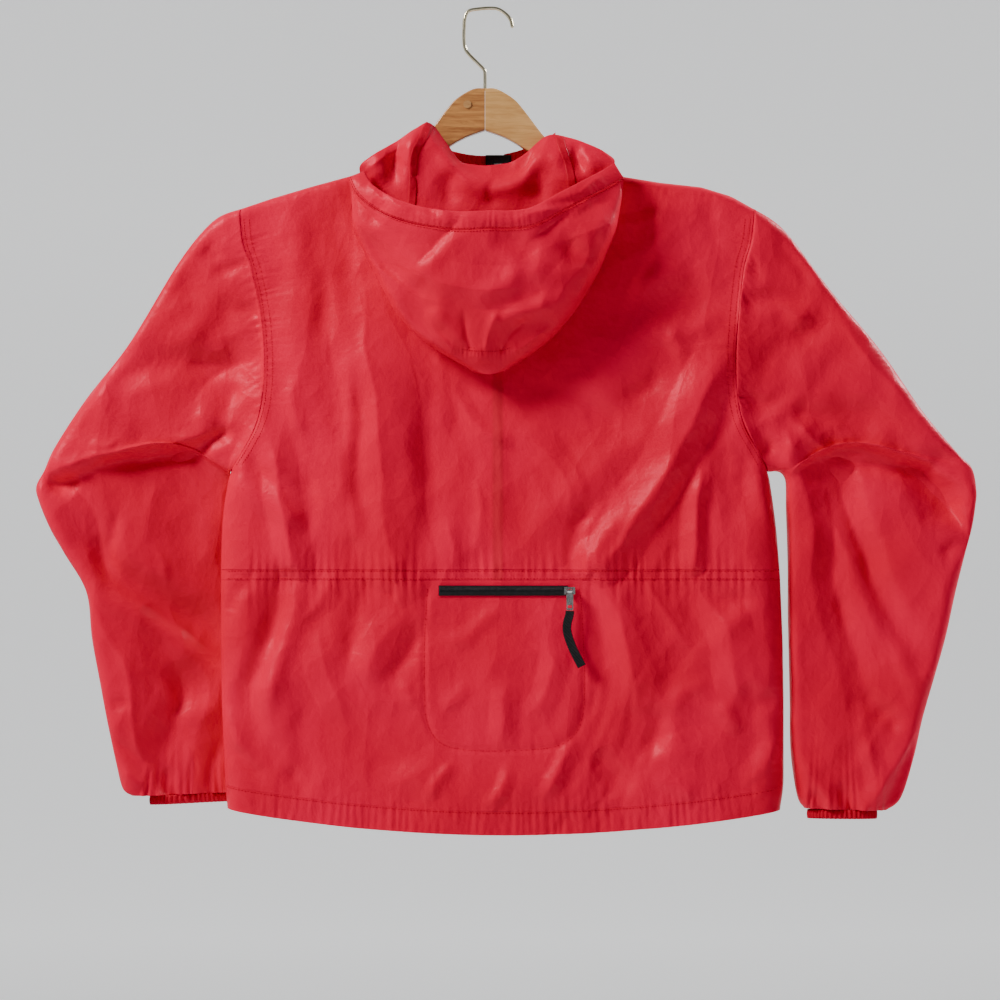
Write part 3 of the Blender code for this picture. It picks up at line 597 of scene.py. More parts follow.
@dataclass(frozen=True)
class Woven:
    """Black woven tape or webbing with a fine rib."""

    name: str
    colour: tuple = (0.004, 0.004, 0.005)
    rib: float = 1500.0
    depth: float = 0.00015

    def make(self) -> Material:
        """Builds the material.

        Returns:
            The finished material.
        """
        g = Graph(self.name)
        inputs = {"Vector": g.place, "Scale": self.rib / 6.3, "Distortion": 0.4, "Detail": 1.0}
        ribs = g.add("ShaderNodeTexWave", inputs, bands_direction="DIAGONAL").outputs[1]
        normal = g.bump(g.noise(900.0, 2.0), 0.00008, g.bump(ribs, self.depth))
        light = tuple(2.2 * c for c in self.colour)
        g.set(Base_Color=g.ramp(g.noise(260.0, 3.0), self.colour, light), Roughness=0.75, Normal=normal,
              Specular_IOR_Level=0.3)
        return g.material


@dataclass(frozen=True)
class Metal:
    """Plated or polished metal with fine scratches."""

    name: str
    colour: tuple = (0.72, 0.72, 0.70)
    worn: tuple = (0.52, 0.52, 0.51)
    roughness: float = 0.22

    def make(self) -> Material:
        """Builds the material.

        Returns:
            The finished material.
        """
        g = Graph(self.name)
        scratches = g.noise(900.0, 3.0, 0.7, (1, 1, 0.12))
        g.set(Base_Color=g.ramp(g.noise(120.0, 4.0), self.worn, self.colour, 0.3, 0.55), Metallic=1.0,
              Roughness=g.span(scratches, self.roughness - 0.06, self.roughness + 0.14),
              Normal=g.bump(scratches, 0.00003))
        return g.material


@dataclass(frozen=True)
class Wood:
    """Varnished wood whose grain runs along X."""

    name: str
    light: tuple = (0.60, 0.30, 0.10)
    dark: tuple = (0.36, 0.13, 0.035)
    grain: float = 1.0

    def make(self) -> Material:
        """Builds the material.

        Returns:
            The finished material.
        """
        g = Graph(self.name)
        lean = g.add("ShaderNodeMapping", {"Vector": g.place, "Rotation": (0, math.radians(28), 0),
                                            "Scale": (0.10, 1.0, 1.0)}).outputs[0]
        rings = g.add("ShaderNodeTexNoise", {"Vector": lean, "Scale": 210.0, "Detail": 5.0,
                                              "Roughness": 0.62, "Distortion": 0.5}).outputs[0]
        pores = g.noise(1500.0, 2.0, 0.6, (0.05, 1, 1))
        colour = g.ramp(rings, self.dark, self.light, 0.5 - 0.16 * self.grain, 0.5 + 0.16 * self.grain)
        g.set(Base_Color=colour, Roughness=g.span(rings, 0.30, 0.42), Normal=g.bump(pores, 0.00006),
              Coat_Weight=0.5, Coat_Roughness=0.18)
        return g.material


# ------------------------------------------------------------------ cloth meshes
def merged_normals(mesh: Mesh) -> None:
    """Turns a closed mesh's faces outwards.

    Args:
        mesh: the mesh, changed in place.
    """
    work = bmesh.new()
    work.from_mesh(mesh)
    bmesh.ops.remove_doubles(work, verts=work.verts, dist=1e-6)
    bmesh.ops.recalc_face_normals(work, faces=work.faces)
    work.to_mesh(mesh)
    work.free()


def new_object(name: str, mesh: Mesh, finish: Material) -> Thing:
    """Puts a mesh in the scene with smooth shading and one finish.

    Args:
        name: the object's name.
        mesh: its mesh.
        finish: its material.

    Returns:
        The new object.
    """
    thing = bpy.data.objects.new(name, mesh)
    bpy.context.scene.collection.objects.link(thing)
    mesh.materials.clear()
    mesh.materials.append(finish)
    mesh.polygons.foreach_set("use_smooth", np.ones(len(mesh.polygons), bool))
    mesh.update()
    return thing


def cell_corners(rows: int, columns: int, closed: bool) -> tuple:
    """Numbers the corners of a grid's cells.

    Args:
        rows, columns: how many points the grid has.
        closed: whether the last column joins the first.

    Returns:
        The cells' upper left, lower left, lower right and upper right corners.
    """
    index = np.arange(rows * columns).reshape(rows, columns)
    if closed:
        index = np.concatenate((index, index[:, :1]), 1)
    return index[:-1, :-1], index[1:, :-1], index[1:, 1:], index[:-1, 1:]


@dataclass
class Sheet:
    """One wall of cloth over a grid of points: rows run down and columns towards +X."""

    name: str
    grid: Array
    finish: Material
    closed: bool = False
    turned: bool = False
    wall: float = 0.6

    def area(self) -> float:
        """Measures the grid.

        Returns:
            Its area in square metres.
        """
        g = np.concatenate((self.grid, self.grid[:, :1]), 1) if self.closed else self.grid
        a, b, c, d = g[:-1, :-1], g[1:, :-1], g[1:, 1:], g[:-1, 1:]
        halves = np.stack((np.cross(b - a, c - a), np.cross(c - a, d - a)))
        return float(np.linalg.norm(halves, axis=-1).sum()) / 2 * MM * MM

    def make(self) -> Thing:
        """Builds the wall, its outer face on the grid.

        Returns:
            The finished object.
        """
        a, b, c, d = cell_corners(*self.grid.shape[:2], closed=self.closed)
        order = (a, b, c, d) if self.turned else (a, d, c, b)
        faces = np.stack([corner.ravel() for corner in order], 1)
        mesh = bpy.data.meshes.new(self.name)
        mesh.from_pydata((self.grid.reshape(-1, 3) * MM).tolist(), [], faces.tolist())
        thing = new_object(self.name, mesh, self.finish)
        wall = thing.modifiers.new("wall", "SOLIDIFY")
        wall.thickness = self.wall * MM
        wall.offset = -1.0
        return thing


@dataclass(frozen=True)
class Cut:
    """How a sheet was cut: its size in metres, its flat area, and what it rides on and stands for."""

    nodes: tuple
    flat: tuple
    area: float
    slot: str = "nylon"
    body: str = "jacket"


def hang(sheet: Sheet, cut: Cut) -> Thing:
    """Args:
        sheet: the cloth.
        cut: its flat size and what it stands for.

    Returns:
        The new object.
    """
    thing = sheet.make()
    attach(thing, cut.body)
    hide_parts(*cut.nodes)
    LOG.info("%s: %d faces, %.4f square metres", thing.name, len(thing.data.polygons), sheet.area())
    return thing


def place(thing: Thing, body: str, slot: str, *nodes: str) -> Thing:
    """Lets a hard piece ride on a body and stand for its nodes.

    Args:
        thing: the piece.
        body: the frame's body.
        slot: the record's material slot; not used.
        nodes: the nodes it stands for.

    Returns:
        The same piece.
    """
    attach(thing, body)
    if nodes:
        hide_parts(*nodes)
    LOG.info("%s: %d faces", thing.name, len(thing.data.polygons))
    return thing


# ------------------------------------------------------------------ repeats
@dataclass
class Thread:
    """Short round pieces along a line, by Geometry Nodes: stitches along it, or zip coils across it."""

    name: str
    pitch: float
    length: float
    thick: float
    across: bool = False

    def tree(self) -> bpy.types.NodeTree:
        """Builds the node tree.

        Returns:
            The tree, whose inputs are Pitch, Length, Thickness and Finish.
        """
        tree = bpy.data.node_groups.new(self.name + "_tree", "GeometryNodeTree")
        face = tree.interface
        face.new_socket("Geometry", in_out="INPUT", socket_type="NodeSocketGeometry")
        for label in ("Pitch", "Length", "Thickness"):
            face.new_socket(label, in_out="INPUT", socket_type="NodeSocketFloat")
        face.new_socket("Finish", in_out="INPUT", socket_type="NodeSocketMaterial")
        face.new_socket("Geometry", in_out="OUTPUT", socket_type="NodeSocketGeometry")
        nodes, link = tree.nodes, tree.links.new
        start, end = nodes.new("NodeGroupInput"), nodes.new("NodeGroupOutput")
        curve = nodes.new("GeometryNodeMeshToCurve")
        spaced = nodes.new("GeometryNodeResampleCurve")
        spaced.mode = "LENGTH"
        points = nodes.new("GeometryNodeCurveToPoints")
        points.mode = "EVALUATED"
        rod, turn = nodes.new("GeometryNodeMeshCylinder"), nodes.new("GeometryNodeInstanceOnPoints")
        rod.inputs["Vertices"].default_value = 6
        aim = nodes.new("FunctionNodeAlignEulerToVector")
        aim.axis = "X" if self.across else "Z"
        real, paint = nodes.new("GeometryNodeRealizeInstances"), nodes.new("GeometryNodeSetMaterial")
        link(start.outputs["Geometry"], curve.inputs[0])
        link(curve.outputs[0], spaced.inputs["Curve"])
        link(start.outputs["Pitch"], spaced.inputs["Length"])
        link(spaced.outputs[0], points.inputs[0])
        link(points.outputs["Points"], turn.inputs["Points"])
        link(start.outputs["Length"], rod.inputs["Depth"])
        link(start.outputs["Thickness"], rod.inputs["Radius"])
        link(rod.outputs["Mesh"], turn.inputs["Instance"])
        link(points.outputs["Tangent"], aim.inputs["Vector"])
        link(aim.outputs[0], turn.inputs["Rotation"])
        link(turn.outputs[0], real.inputs[0])
        link(real.outputs[0], paint.inputs["Geometry"])
        link(start.outputs["Finish"], paint.inputs["Material"])
        link(paint.outputs[0], end.inputs[0])
        return tree

    def lay(self, lines: list, finish: Material) -> Thing:
        """Lays the pieces along lines.

        Args:
            lines: arrays of points in mm.
            finish: their material.

        Returns:
            One plain mesh object.
        """
        points, edges = [], []
        for line in lines:
            first = len(points)
            points += (np.asarray(line) * MM).tolist()
            edges += [(first + i, first + i + 1) for i in range(len(line) - 1)]
        mesh = bpy.data.meshes.new(self.name + "_lines")
        mesh.from_pydata(points, edges, [])
        guide = bpy.data.objects.new(self.name + "_lines", mesh)
        bpy.context.scene.collection.objects.link(guide)
        maker = guide.modifiers.new("repeat", "NODES")
        tree = self.tree()
        maker.node_group = tree
        sizes = {"Pitch": self.pitch * MM, "Length": self.length * MM, "Thickness": self.thick / 2 * MM,
                 "Finish": finish}
        for item in tree.interface.items_tree:
            if item.in_out == "INPUT" and item.name in sizes:
                maker[item.identifier] = sizes[item.name]
        bpy.context.view_layer.update()
        made = bpy.data.meshes.new_from_object(guide.evaluated_get(bpy.context.evaluated_depsgraph_get()))
        bpy.data.objects.remove(guide)
        made.name = self.name
        return new_object(self.name, made, finish)


def tube(points: Array, radius: float, sides: int) -> Mesh:
    """A round tube along a flat path in X and Z, with rounded ends.

    Args:
        points: the path's points in mm.
        radius: the tube's radius.
        sides: how many sides it has.

    Returns:
        A closed mesh.
    """
    run = np.gradient(points, axis=0)
    run /= np.linalg.norm(run, axis=1, keepdims=True)
    across = np.column_stack((-run[:, 2], np.zeros(len(run)), run[:, 0]))
    turn = np.linspace(0, 2 * math.pi, sides, endpoint=False)
    rounds = [np.cos(turn)[:, None] * a + np.sin(turn)[:, None] * UP_Y for a in across]
    rings = [p + radius * circle for p, circle in zip(points, rounds)]
    for end, sign in ((0, -1), (-1, 1)):
        caps = [points[end] + radius * (sign * run[end] * math.sin(angle) + math.cos(angle) * rounds[end])
                for angle in CAP_ANGLES]
        rings = caps[::-1] + rings if end == 0 else rings + caps
    grid = np.array(rings)
    index = cell_corners(*grid.shape[:2], closed=True)
    faces = np.stack((index[0], index[1], index[2], index[3]), -1).reshape(-1, 4).tolist()
    faces += [index[0][0].tolist(), index[1][-1][::-1].tolist()]
    mesh = bpy.data.meshes.new("tube")
    mesh.from_pydata((grid.reshape(-1, 3) * MM).tolist(), [], faces)
    merged_normals(mesh)
    return mesh


# ------------------------------------------------------------------ the body's form
@dataclass(frozen=True)
class Fold:
    """A broad ridge or trough between two points, as the solids have."""

    x1: float
    z1: float
    x2: float
    z2: float
    width: float
    height: float

    def relief(self, x: Array, z: Array) -> Array:
        """The height it adds.

        Args:
            x, z: the places.

        Returns:
            The height at each place, in mm.
        """
        run_x, run_z = self.x2 - self.x1, self.z2 - self.z1
        t = ((x - self.x1) * run_x + (z - self.z1) * run_z) / (run_x ** 2 + run_z ** 2)
        t = np.clip(t, 0.0, 1.0)
        away = (x - self.x1 - t * run_x) ** 2 + (z - self.z1 - t * run_z) ** 2
        return self.height * np.exp(-away / self.width ** 2)


@dataclass(frozen=True)
class Body:
    """The body's outline and depth, with the solids' named sizes."""

    edges: Table = Table("z left right", (
        (-219, -274, 290), (-256, -271, 286), (-280, -262, 278), (-313, -254, 274), (-346, -249, 271),
        (-376, -247, 269), (-410, -247, 269), (-438, -250, 272), (-462, -257, 279), (-490, -273, 296),
        (-508, -286, 306), (-540, -292, 311), (-571, -295, 315), (-621, -296, 319), (-693, -296, 322),
        (-760, -295, 323), (-854, -291, 323), (-885, -288, 318)))
    depth: Table = Table("z half", (
        (-150, 9), (-230, 10), (-320, 13), (-450, 17), (-620, 20), (-760, 22), (-905, 25)))
    shoulder: Table = Table("x z", (
        (-274, -219), (-240, -207.5), (-200, -195.5), (-153.5, -182.8), (-110, -166.3), (-87.5, -150.5),
        (76.5, -150.5), (99, -166.3), (142.5, -182.8), (186.5, -190), (232, -195), (265, -205),
        (290, -219)))
    edge_y: float = 0.45
    hanger_x: float = -5.5
    neck_half_width: float = 82.0
    neck_depth: float = 22.0
    neck_drop: float = 27.0
    zip_x: float = 9.0
    zip_half_gap: float = 6.5
    armpit_z: float = -508.0
    waist_z: float = -621.0
    waist_casing: float = 11.0
    hem_casing: float = 26.0
    side_round: float = 30.0
    top_round: float = 9.0
    neck_fall: float = 60.0

    def side(self, name: str, z: Array) -> Array:
        """The x of a side edge."""
        return self.edges.read(name, z, 9.0)

    def neck_reach(self, x: Array) -> Array:
        """1 at the neckline's middle, 0 at its ends and beyond."""
        return np.maximum(0.0, 1.0 - ((x - self.hanger_x) / self.neck_half_width) ** 2)

    def neck_open(self, x: Array) -> Array:
        """As neck_reach, but near 1 until close to the ends."""
        return np.sqrt(np.maximum(0.0, 1.0 - ((x - self.hanger_x) / self.neck_half_width) ** 6))

    def top(self, x: Array) -> Array:
        """The shoulder seams' and the neckline's height."""
        return self.shoulder.read("z", x) - self.neck_drop * self.neck_reach(x)

    def waist(self, x: Array, step: float) -> Array:
        """A height in the waist casing: step is 1 at its upper edge and -1 at its lower."""
        return np.full(np.shape(x), self.waist_z + step * self.waist_casing / 2)

    def hem(self, x: Array) -> Array:
        """The hem's lower edge."""
        return -905.0 + 26.0 * ((x - 20.0) / 300.0) ** 2

    def hem_top(self, x: Array) -> Array:
        """The hem casing's upper edge."""
        return self.hem(x) + self.hem_casing

    def edge_half(self, z: Array) -> Array:
        """Half depth at the side edges: open at the armhole, closed below it."""
        lift = self.depth.read("half", z, 20) * rounded(z - self.armpit_z, 45.0)
        return np.where(z <= self.armpit_z, self.edge_y, self.edge_y + lift)

    def half(self, x: Array, z: Array, folds: tuple) -> Array:
        """Distance of a panel's outer face from the middle plane.

        Args:
            x, z: the places.
            folds: the panel's broad folds.

        Returns:
            The distance in mm.
        """
        side = np.minimum(x - self.side("left", z), self.side("right", z) - x)
        full = self.depth.read("half", z, 20) + relief(folds, x, z) * rounded(side, 40.0)
        half = mix(self.edge_half(z), full, rounded(side, self.side_round))
        top = self.edge_y + self.neck_depth * self.neck_open(x)
        fall = self.top(x) - z
        blend = mix(rounded(fall, self.top_round), smooth(fall / self.neck_fall),
                    np.minimum(1.0, 14 * self.neck_reach(x)))
        return mix(top, half, blend)


@dataclass(frozen=True)
class Face:
    """The back's or the fronts' finished surface, creases and all."""

    body: Body
    facing: int
    folds: tuple
    marks: tuple
    seed: int
    crumple: float = 1.0
    flat: tuple = ()

    def calm(self, x: Array, z: Array) -> Array:
        """0 on the stretch that what is sewn on keeps flat, and 1 away from it.

        Args:
            x, z: the places.

        Returns:
            The share at each place.
        """
        if not self.flat:
            return np.ones(np.shape(x))
        left, right, low, high, reach = self.flat
        across = np.maximum(0, np.maximum(left - x, x - right))
        return smooth(np.hypot(across, np.maximum(0, np.maximum(low - z, z - high))) / reach)

    def at(self, x: Array, z: Array) -> Array:
        """The surface's y.

        Args:
            x, z: the places.

        Returns:
            Its y in mm.
        """
        body = self.body
        left, right = body.side("left", z), body.side("right", z)
        border = rounded(np.minimum(x - left, right - x), 24.0) * rounded(body.top(x) - z, 14.0)
        fine = relief(self.marks, x, z)
        fine = fine + self.crumple * cloth_crumple(x, z, self.seed)
        fine = fine * self.calm(x, z)
        return self.facing * (body.half(x, z, self.folds) + border * fine)

    def laid(self, x: Array, z: Array, out: float = THREAD_OUT) -> Array:
        """Points in front of the surface by a distance in mm."""
        return np.stack((x, self.at(x, z) + self.facing * out, z), -1)

    def armhole_rows(self, insets: tuple) -> list:
        """Rows of stitches beside both armholes.

        Args:
            insets: the rows' distances from the seam.

        Returns:
            The rows' points in mm.
        """
        z = np.linspace(*ARMHOLE_SEWN, 160)
        return [self.laid(self.body.side(side, z) + sign * inset, z)
                for side, sign in (("left", 1), ("right", -1)) for inset in insets]


@dataclass(frozen=True)
class Panel:
    """One cut piece of the back or of a front."""

    name: str
    face: Face
    top: Heights
    low: Heights
    left: Heights
    right: Heights
    columns: int
    rows: int
    gap: float = PANEL_GAP

    def grid(self) -> Array:
        """The piece's points, rows down and columns towards +X.

        Returns:
            The grid, in mm.
        """
        across, down = edged(self.columns, 0.05, 9), edged(self.rows, 0.04, 5)[:, None]
        middle = mix(self.top(np.zeros(1)), self.low(np.zeros(1)), down)
        z = np.broadcast_to(middle, (len(down), len(across)))
        for _ in range(5):
            x = mix(self.left(z), self.right(z), across[None, :])
            z = mix(self.top(x) - self.gap, self.low(x) + self.gap, down)
        return np.stack((x, self.face.at(x, z), z), -1)


# ------------------------------------------------------------------ the back
ZIP_FLAT = (-58.0, 96.0, -645.0, -631.0, 16.0)
BACK_FOLDS = (
    Fold(-225, -330, -150, -560, 20, 4.0), Fold(-185, -250, -120, -420, 24, -3.0),
    Fold(-120, -400, -60, -600, 26, 3.5), Fold(-40, -430, -10, -600, 22, -3.0),
    Fold(250, -395, 60, -560, 20, 4.5), Fold(262, -440, 150, -590, 17, -3.5),
    Fold(200, -240, 130, -420, 26, 3.0), Fold(60, -420, 110, -600, 22, -2.5),
    Fold(-270, -650, -200, -850, 20, 3.5), Fold(-200, -640, -120, -850, 22, -3.0),
    Fold(130, -640, 215, -840, 22, 4.0), Fold(215, -640, 295, -800, 18, -3.0),
    Fold(-60, -845, 110, -865, 24, 3.0), Fold(300, -640, 240, -700, 14, 3.0))
FRONT_FOLDS = (
    Fold(-240, -390, -90, -590, 22, 3.5), Fold(-150, -240, -80, -420, 26, -3.0),
    Fold(245, -400, 120, -600, 22, 4.0), Fold(190, -240, 120, -430, 26, -3.0),
    Fold(-250, -640, -160, -860, 24, 3.5), Fold(90, -640, 180, -860, 24, -3.0),
    Fold(280, -620, 230, -840, 20, 3.0), Fold(-110, -600, -60, -840, 22, -2.5))
ARMHOLES = (
    Gather(((250, 236), (255, 262), (262, 300), (265, 340), (263, 375), (262, 412)), 2.3, 5.8, 11, 1),
    Gather(((750, 236), (745, 260), (738, 300), (735, 340), (735, 380), (738, 412)), 2.3, 5.8, 11, 2))
UPPER_BACK_MARKS = ARMHOLES + (
    Gather(((222, 568), (360, 568), (500, 568), (640, 568), (780, 568)), 1.1, 9.5, 15, 3),
    Gather(((258, 196), (320, 178), (380, 162)), 0.8, 7.0, 12, 4),
    Gather(((590, 160), (650, 178), (740, 196)), 0.8, 7.0, 12, 5),
    *drawn("""width height profile start end path
    48 13 facet 0.2 1 358,270 365,340 375,390 381,450 388,520 393,562
    14 -4 soft 0 0.8 425,340 428,400 430,450 433,500 420,560
    9 -4 soft 0 0.3 352,360 363,420 357,480 370,520
    11 4 soft 0 0.4 345,330 352,400 346,470 352,530
    24 9 facet 0.3 1 265,420 278,470 285,520 295,562
    10 -3.5 soft 0 0 320,262 325,290 322,352
    9 3.4 soft 0 0 290,372 295,410 305,440
    9 4.5 pinch 0.6 0.3 262,412 245,470 228,505
    8 -5 soft 0 0 224,432 228,470 240,478
    9 -4 soft 0 0 240,440 262,472 300,500
    10 4 soft 0 0 232,468 262,500 318,530
    12 4 facet 0 0 452,376 465,410 480,430 522,452
    9 4 pinch 0.1 0.6 474,478 480,500 478,545
    8 3.2 pinch 0 0.9 448,515 452,540 456,562
    26 -6.5 soft 0.2 0.5 615,315 665,306 740,296
    15 3.6 soft 0 0 620,286 670,280 738,272
    12 4.2 soft 0 0 628,338 680,330 732,318
    34 14 facet 1 0.2 602,562 622,540 657,480 691,430 712,372 734,350
    13 5 soft 0 0 704,436 660,492 628,548
    9 -4 soft 0.9 0.1 568,562 580,522 602,498
    9 4 soft 0.9 0.1 588,560 605,532 624,518
    18 9 facet 1 0.1 692,562 697,500 702,456
    12 5.5 pinch 0.5 0.6 738,412 748,450 762,500 778,545
    10 -5 soft 0 0 757,430 744,480 752,530
    13 -4 soft 0 0 728,430 728,480 738,540
    9 -3.6 soft 0 0 610,405 650,386 656,360
    9 3.6 soft 0 0 664,328 680,350 690,360
    22 4.4 facet 0 0 497,425 530,440 560,468 576,524
    14 -3 soft 0 0 520,385 580,402 625,436 640,470
    10 -3.4 soft 0 0 304,458 312,500 306,545
    4 1.8 pinch 0.5 0.7 496,372 498,420 501,470 500,520 499,564
    16 -4 soft 0.2 0.5 330,196 345,235 350,275
    16 3.5 soft 0 0 286,206 300,240 296,285
    16 3.2 soft 0 0 650,196 662,225 655,262
    12 -3.4 soft 0 0 700,200 716,232 712,262"""))
LOWER_BACK_MARKS = (
    Gather(((222, 582), (360, 582), (500, 582), (640, 582), (780, 582)), 1.2, 9.0, 15, 13),
    Gather(((222, 800), (350, 808), (500, 812), (640, 806), (780, 788)), 1.1, 8.0, 12, 14),
    Gather(((224, 590), (222, 700), (224, 800)), 1.0, 8.0, 9, 15),
    Gather(((776, 590), (779, 700), (777, 790)), 1.0, 8.0, 9, 16),
    *drawn("""width height profile start end path
    13 -8 soft 0.6 0.2 285,578 275,620 262,660 249,695 254,722 276,752
    12 5.5 soft 0.5 0.1 303,578 292,620 280,662 268,700 276,730
    30 6.5 facet 0.1 0.2 310,612 322,645 330,675 342,700 345,738
    8 3.6 pinch 0.8 0.1 332,578 315,610 292,628
    30 6 facet 0.2 0.1 418,606 380,642 363,698
    10 -3.8 soft 0 0 424,612 410,652 374,694
    8 3 soft 0 0 403,676 415,709
    8 -4 soft 0.7 0.3 247,578 228,614
    10 4.6 facet 0 0 222,698 240,740 257,758
    9 -4.2 soft 0 0 224,733 245,762 272,783
    9 -3.6 soft 0 0 288,762 312,797
    26 4.6 facet 0 0 432,756 405,776 366,792
    11 4.2 facet 0 0 459,757 436,780 424,804
    12 4.6 facet 0 0 512,756 500,790 478,808
    9 3.2 soft 0 0 428,640 465,637 490,613 512,612
    9 3.2 soft 0 0 440,710 462,690 472,678
    20 5.2 facet 0 0 508,674 500,735 494,748
    20 5 facet 0 0 557,636 545,690 518,724
    14 5.2 facet 0 0 577,732 560,765 538,803
    15 6.5 pinch 0.6 0.1 600,586 620,620 632,680 642,714
    14 -5 soft 0.7 0.1 588,592 604,636 612,690
    6 3.4 pinch 0.7 0.1 648,586 662,608 692,652
    30 7 facet 0.7 0.1 700,586 715,610 726,640 736,690 747,718
    12 -5 soft 0.5 0.5 694,588 728,602 758,596
    11 -5 soft 0 0 662,696 657,730 643,758
    10 4.2 soft 0 0 663,712 690,686 712,690
    12 -5.2 soft 0 0 743,676 757,701 782,688
    22 5.4 facet 0 0 784,722 757,768 733,792
    9 3.8 soft 0 0 713,698 742,733
    11 3.8 soft 0 0 640,770 676,784 700,800
    13 -3.6 soft 0 0 306,700 300,740 322,782
    12 -3.8 soft 0 0 590,740 612,772 640,788
    10 -3.4 soft 0.7 0 365,590 352,640 356,672"""))
BAG = ((428, 588), (425, 640), (425, 689), (427, 719), (438, 739), (458, 747), (496, 749), (549, 746),
       (571, 736), (581, 719), (584, 689), (582, 623), (579, 588))
BAG_SEWN_BELOW = -636         # the pocket's stitches start under its zip
LOWER_BACK_MARKS += (Gather(BAG, 0.6, 7.0, 6, 17), Crease(BAG, 3.0, -1.6, Profile.SOFT, (1, 1)))
CASING_MARKS = (Gather(((222, 575), (360, 575), (500, 575), (640, 575), (780, 575)), 0.9, 7.0, 9, 23),)
HEM_MARKS = (Gather(((222, 810), (350, 820), (500, 828), (640, 822), (780, 808)), 0.9, 8.4, 17, 24),)
FRONT_MARKS = (
    Gather(((250, 236), (262, 300), (265, 340), (262, 412)), 1.4, 6.6, 16, 31),
    Gather(((750, 236), (738, 300), (735, 340), (738, 412)), 1.4, 6.6, 16, 32),
    Gather(((222, 812), (350, 822), (500, 828), (640, 824), (780, 808)), 1.2, 8.6, 20, 33),
    *drawn("""width height profile start end path
    34 7 facet 0.2 0.1 272,340 300,430 360,520 420,600
    16 -4.5 soft 0 0 330,230 352,300 348,380
    26 5.5 facet 0 0 400,300 420,400 412,520
    22 6 facet 0.3 0.1 238,470 270,560 262,660 290,760
    17 -5 soft 0 0 330,560 352,640 340,730 362,800
    18 5 soft 0 0 440,600 430,700 450,790
    34 7 facet 0.2 0.1 728,350 690,440 640,530 590,610
    16 -4.5 soft 0 0 665,230 650,310 662,380
    26 5.5 facet 0 0 590,300 575,420 590,540
    22 6 facet 0.3 0.1 765,480 735,580 745,670 715,770
    17 -5 soft 0 0 670,560 650,650 668,740 640,800
    18 5 soft 0 0 560,600 572,700 548,790"""))


# ------------------------------------------------------------------ sleeves
@dataclass(frozen=True)
class Sleeve:
    """One sleeve: a flattened tube through rings of named sizes, with its creases."""

    side: str
    body: Body
    rings: Table
    near_marks: tuple
    far_marks: tuple
    seed: int
    columns: int = 78
    rows: int = 150
    gap: float = 0.6
    ledge_step: float = 4.5
    round: float = 14.0
    across: float = 200.0
    length: float = 640.0

    def shares(self) -> Array:
        """Columns from the outer point to the inner one."""
        return edged(self.columns, 0.06, 9)

    def armhole(self, t: Array) -> tuple:
        """The seam ring's near and far points.

        Args:
            t: shares from its outer to its inner point.

        Returns:
            The near and far points.
        """
        body, out = self.body, -1 if self.side == "left" else 1
        high = float(body.top(body.side(self.side, SHOULDER_TIP_Z)))
        z = mix(high, body.armpit_z, t)
        x = body.side(self.side, z) + out * self.gap
        half = mix(body.edge_y, body.edge_half(z), rounded(high - z, body.top_round))
        return np.stack((x, -half, z), -1), np.stack((x, half, z), -1)

    def ring(self, i: int, t: Array) -> tuple:
        """One flattened ring's near and far points.

        Args:
            i: the ring's place in the table.
            t: shares from its outer to its inner point.

        Returns:
            The near and far points.
        """
        row = dict(zip(self.rings.columns.split(), self.rings.rows[i]))
        body = self.body
        high = float(body.top(body.side(self.side, SHOULDER_TIP_Z)))
        chord = mix(body.side(self.side, SHOULDER_TIP_Z), body.side(self.side, body.armpit_z), t)
        bow = (body.side(self.side, mix(high, body.armpit_z, t)) - chord) * (0.7, 0.35, 0.1, 0.0)[min(i, 3)]
        length = math.hypot(row["ix"] - row["ox"], row["iz"] - row["oz"])
        half = mix(body.edge_y, row["half"], rounded(np.minimum(t, 1 - t) * length, self.round))
        lean = row["iy"] * smooth(t)
        ledge = self.ledge_step * row["ledge"] * np.sin(math.pi * t)
        x, z = mix(row["ox"], row["ix"], t) + bow, mix(row["oz"], row["iz"], t)
        near = np.stack((x, lean - half - ledge, z + 1.15 * row["rise"] * np.sin(math.pi * t ** 1.65)), -1)
        return near, np.stack((x, lean + half, z), -1)

    def walls(self) -> list:
        """The near and far walls with their creases, rows down the sleeve.

        Returns:
            The two grids, in mm.
        """
        t = self.shares()
        coarse = [self.armhole(t)] + [self.ring(i, t) for i in range(len(self.rings.rows))]
        down = np.linspace(0, 1, self.rows)
        walls = []
        for which, facing, marks in ((0, -1, self.near_marks), (1, 1, self.far_marks)):
            wall = follow(np.array([pair[which] for pair in coarse]), down)
            x, z = wall[..., 0], wall[..., 2]
            border = rounded(np.minimum(t, 1 - t)[None, :] * self.across, 26.0)
            border = border * rounded(down[:, None] * self.length, 10.0)
            fine = relief(marks, x, z) + cloth_crumple(x, z, self.seed + 17 * which)
            wall[..., 1] += facing * border * fine
            walls.append(wall)
        return walls

    def grid(self) -> Array:
        """The whole tube: the near wall from its outer point inwards, then the far wall back."""
        near, far = self.walls()
        return np.concatenate((near, far[:, -2:0:-1]), 1)


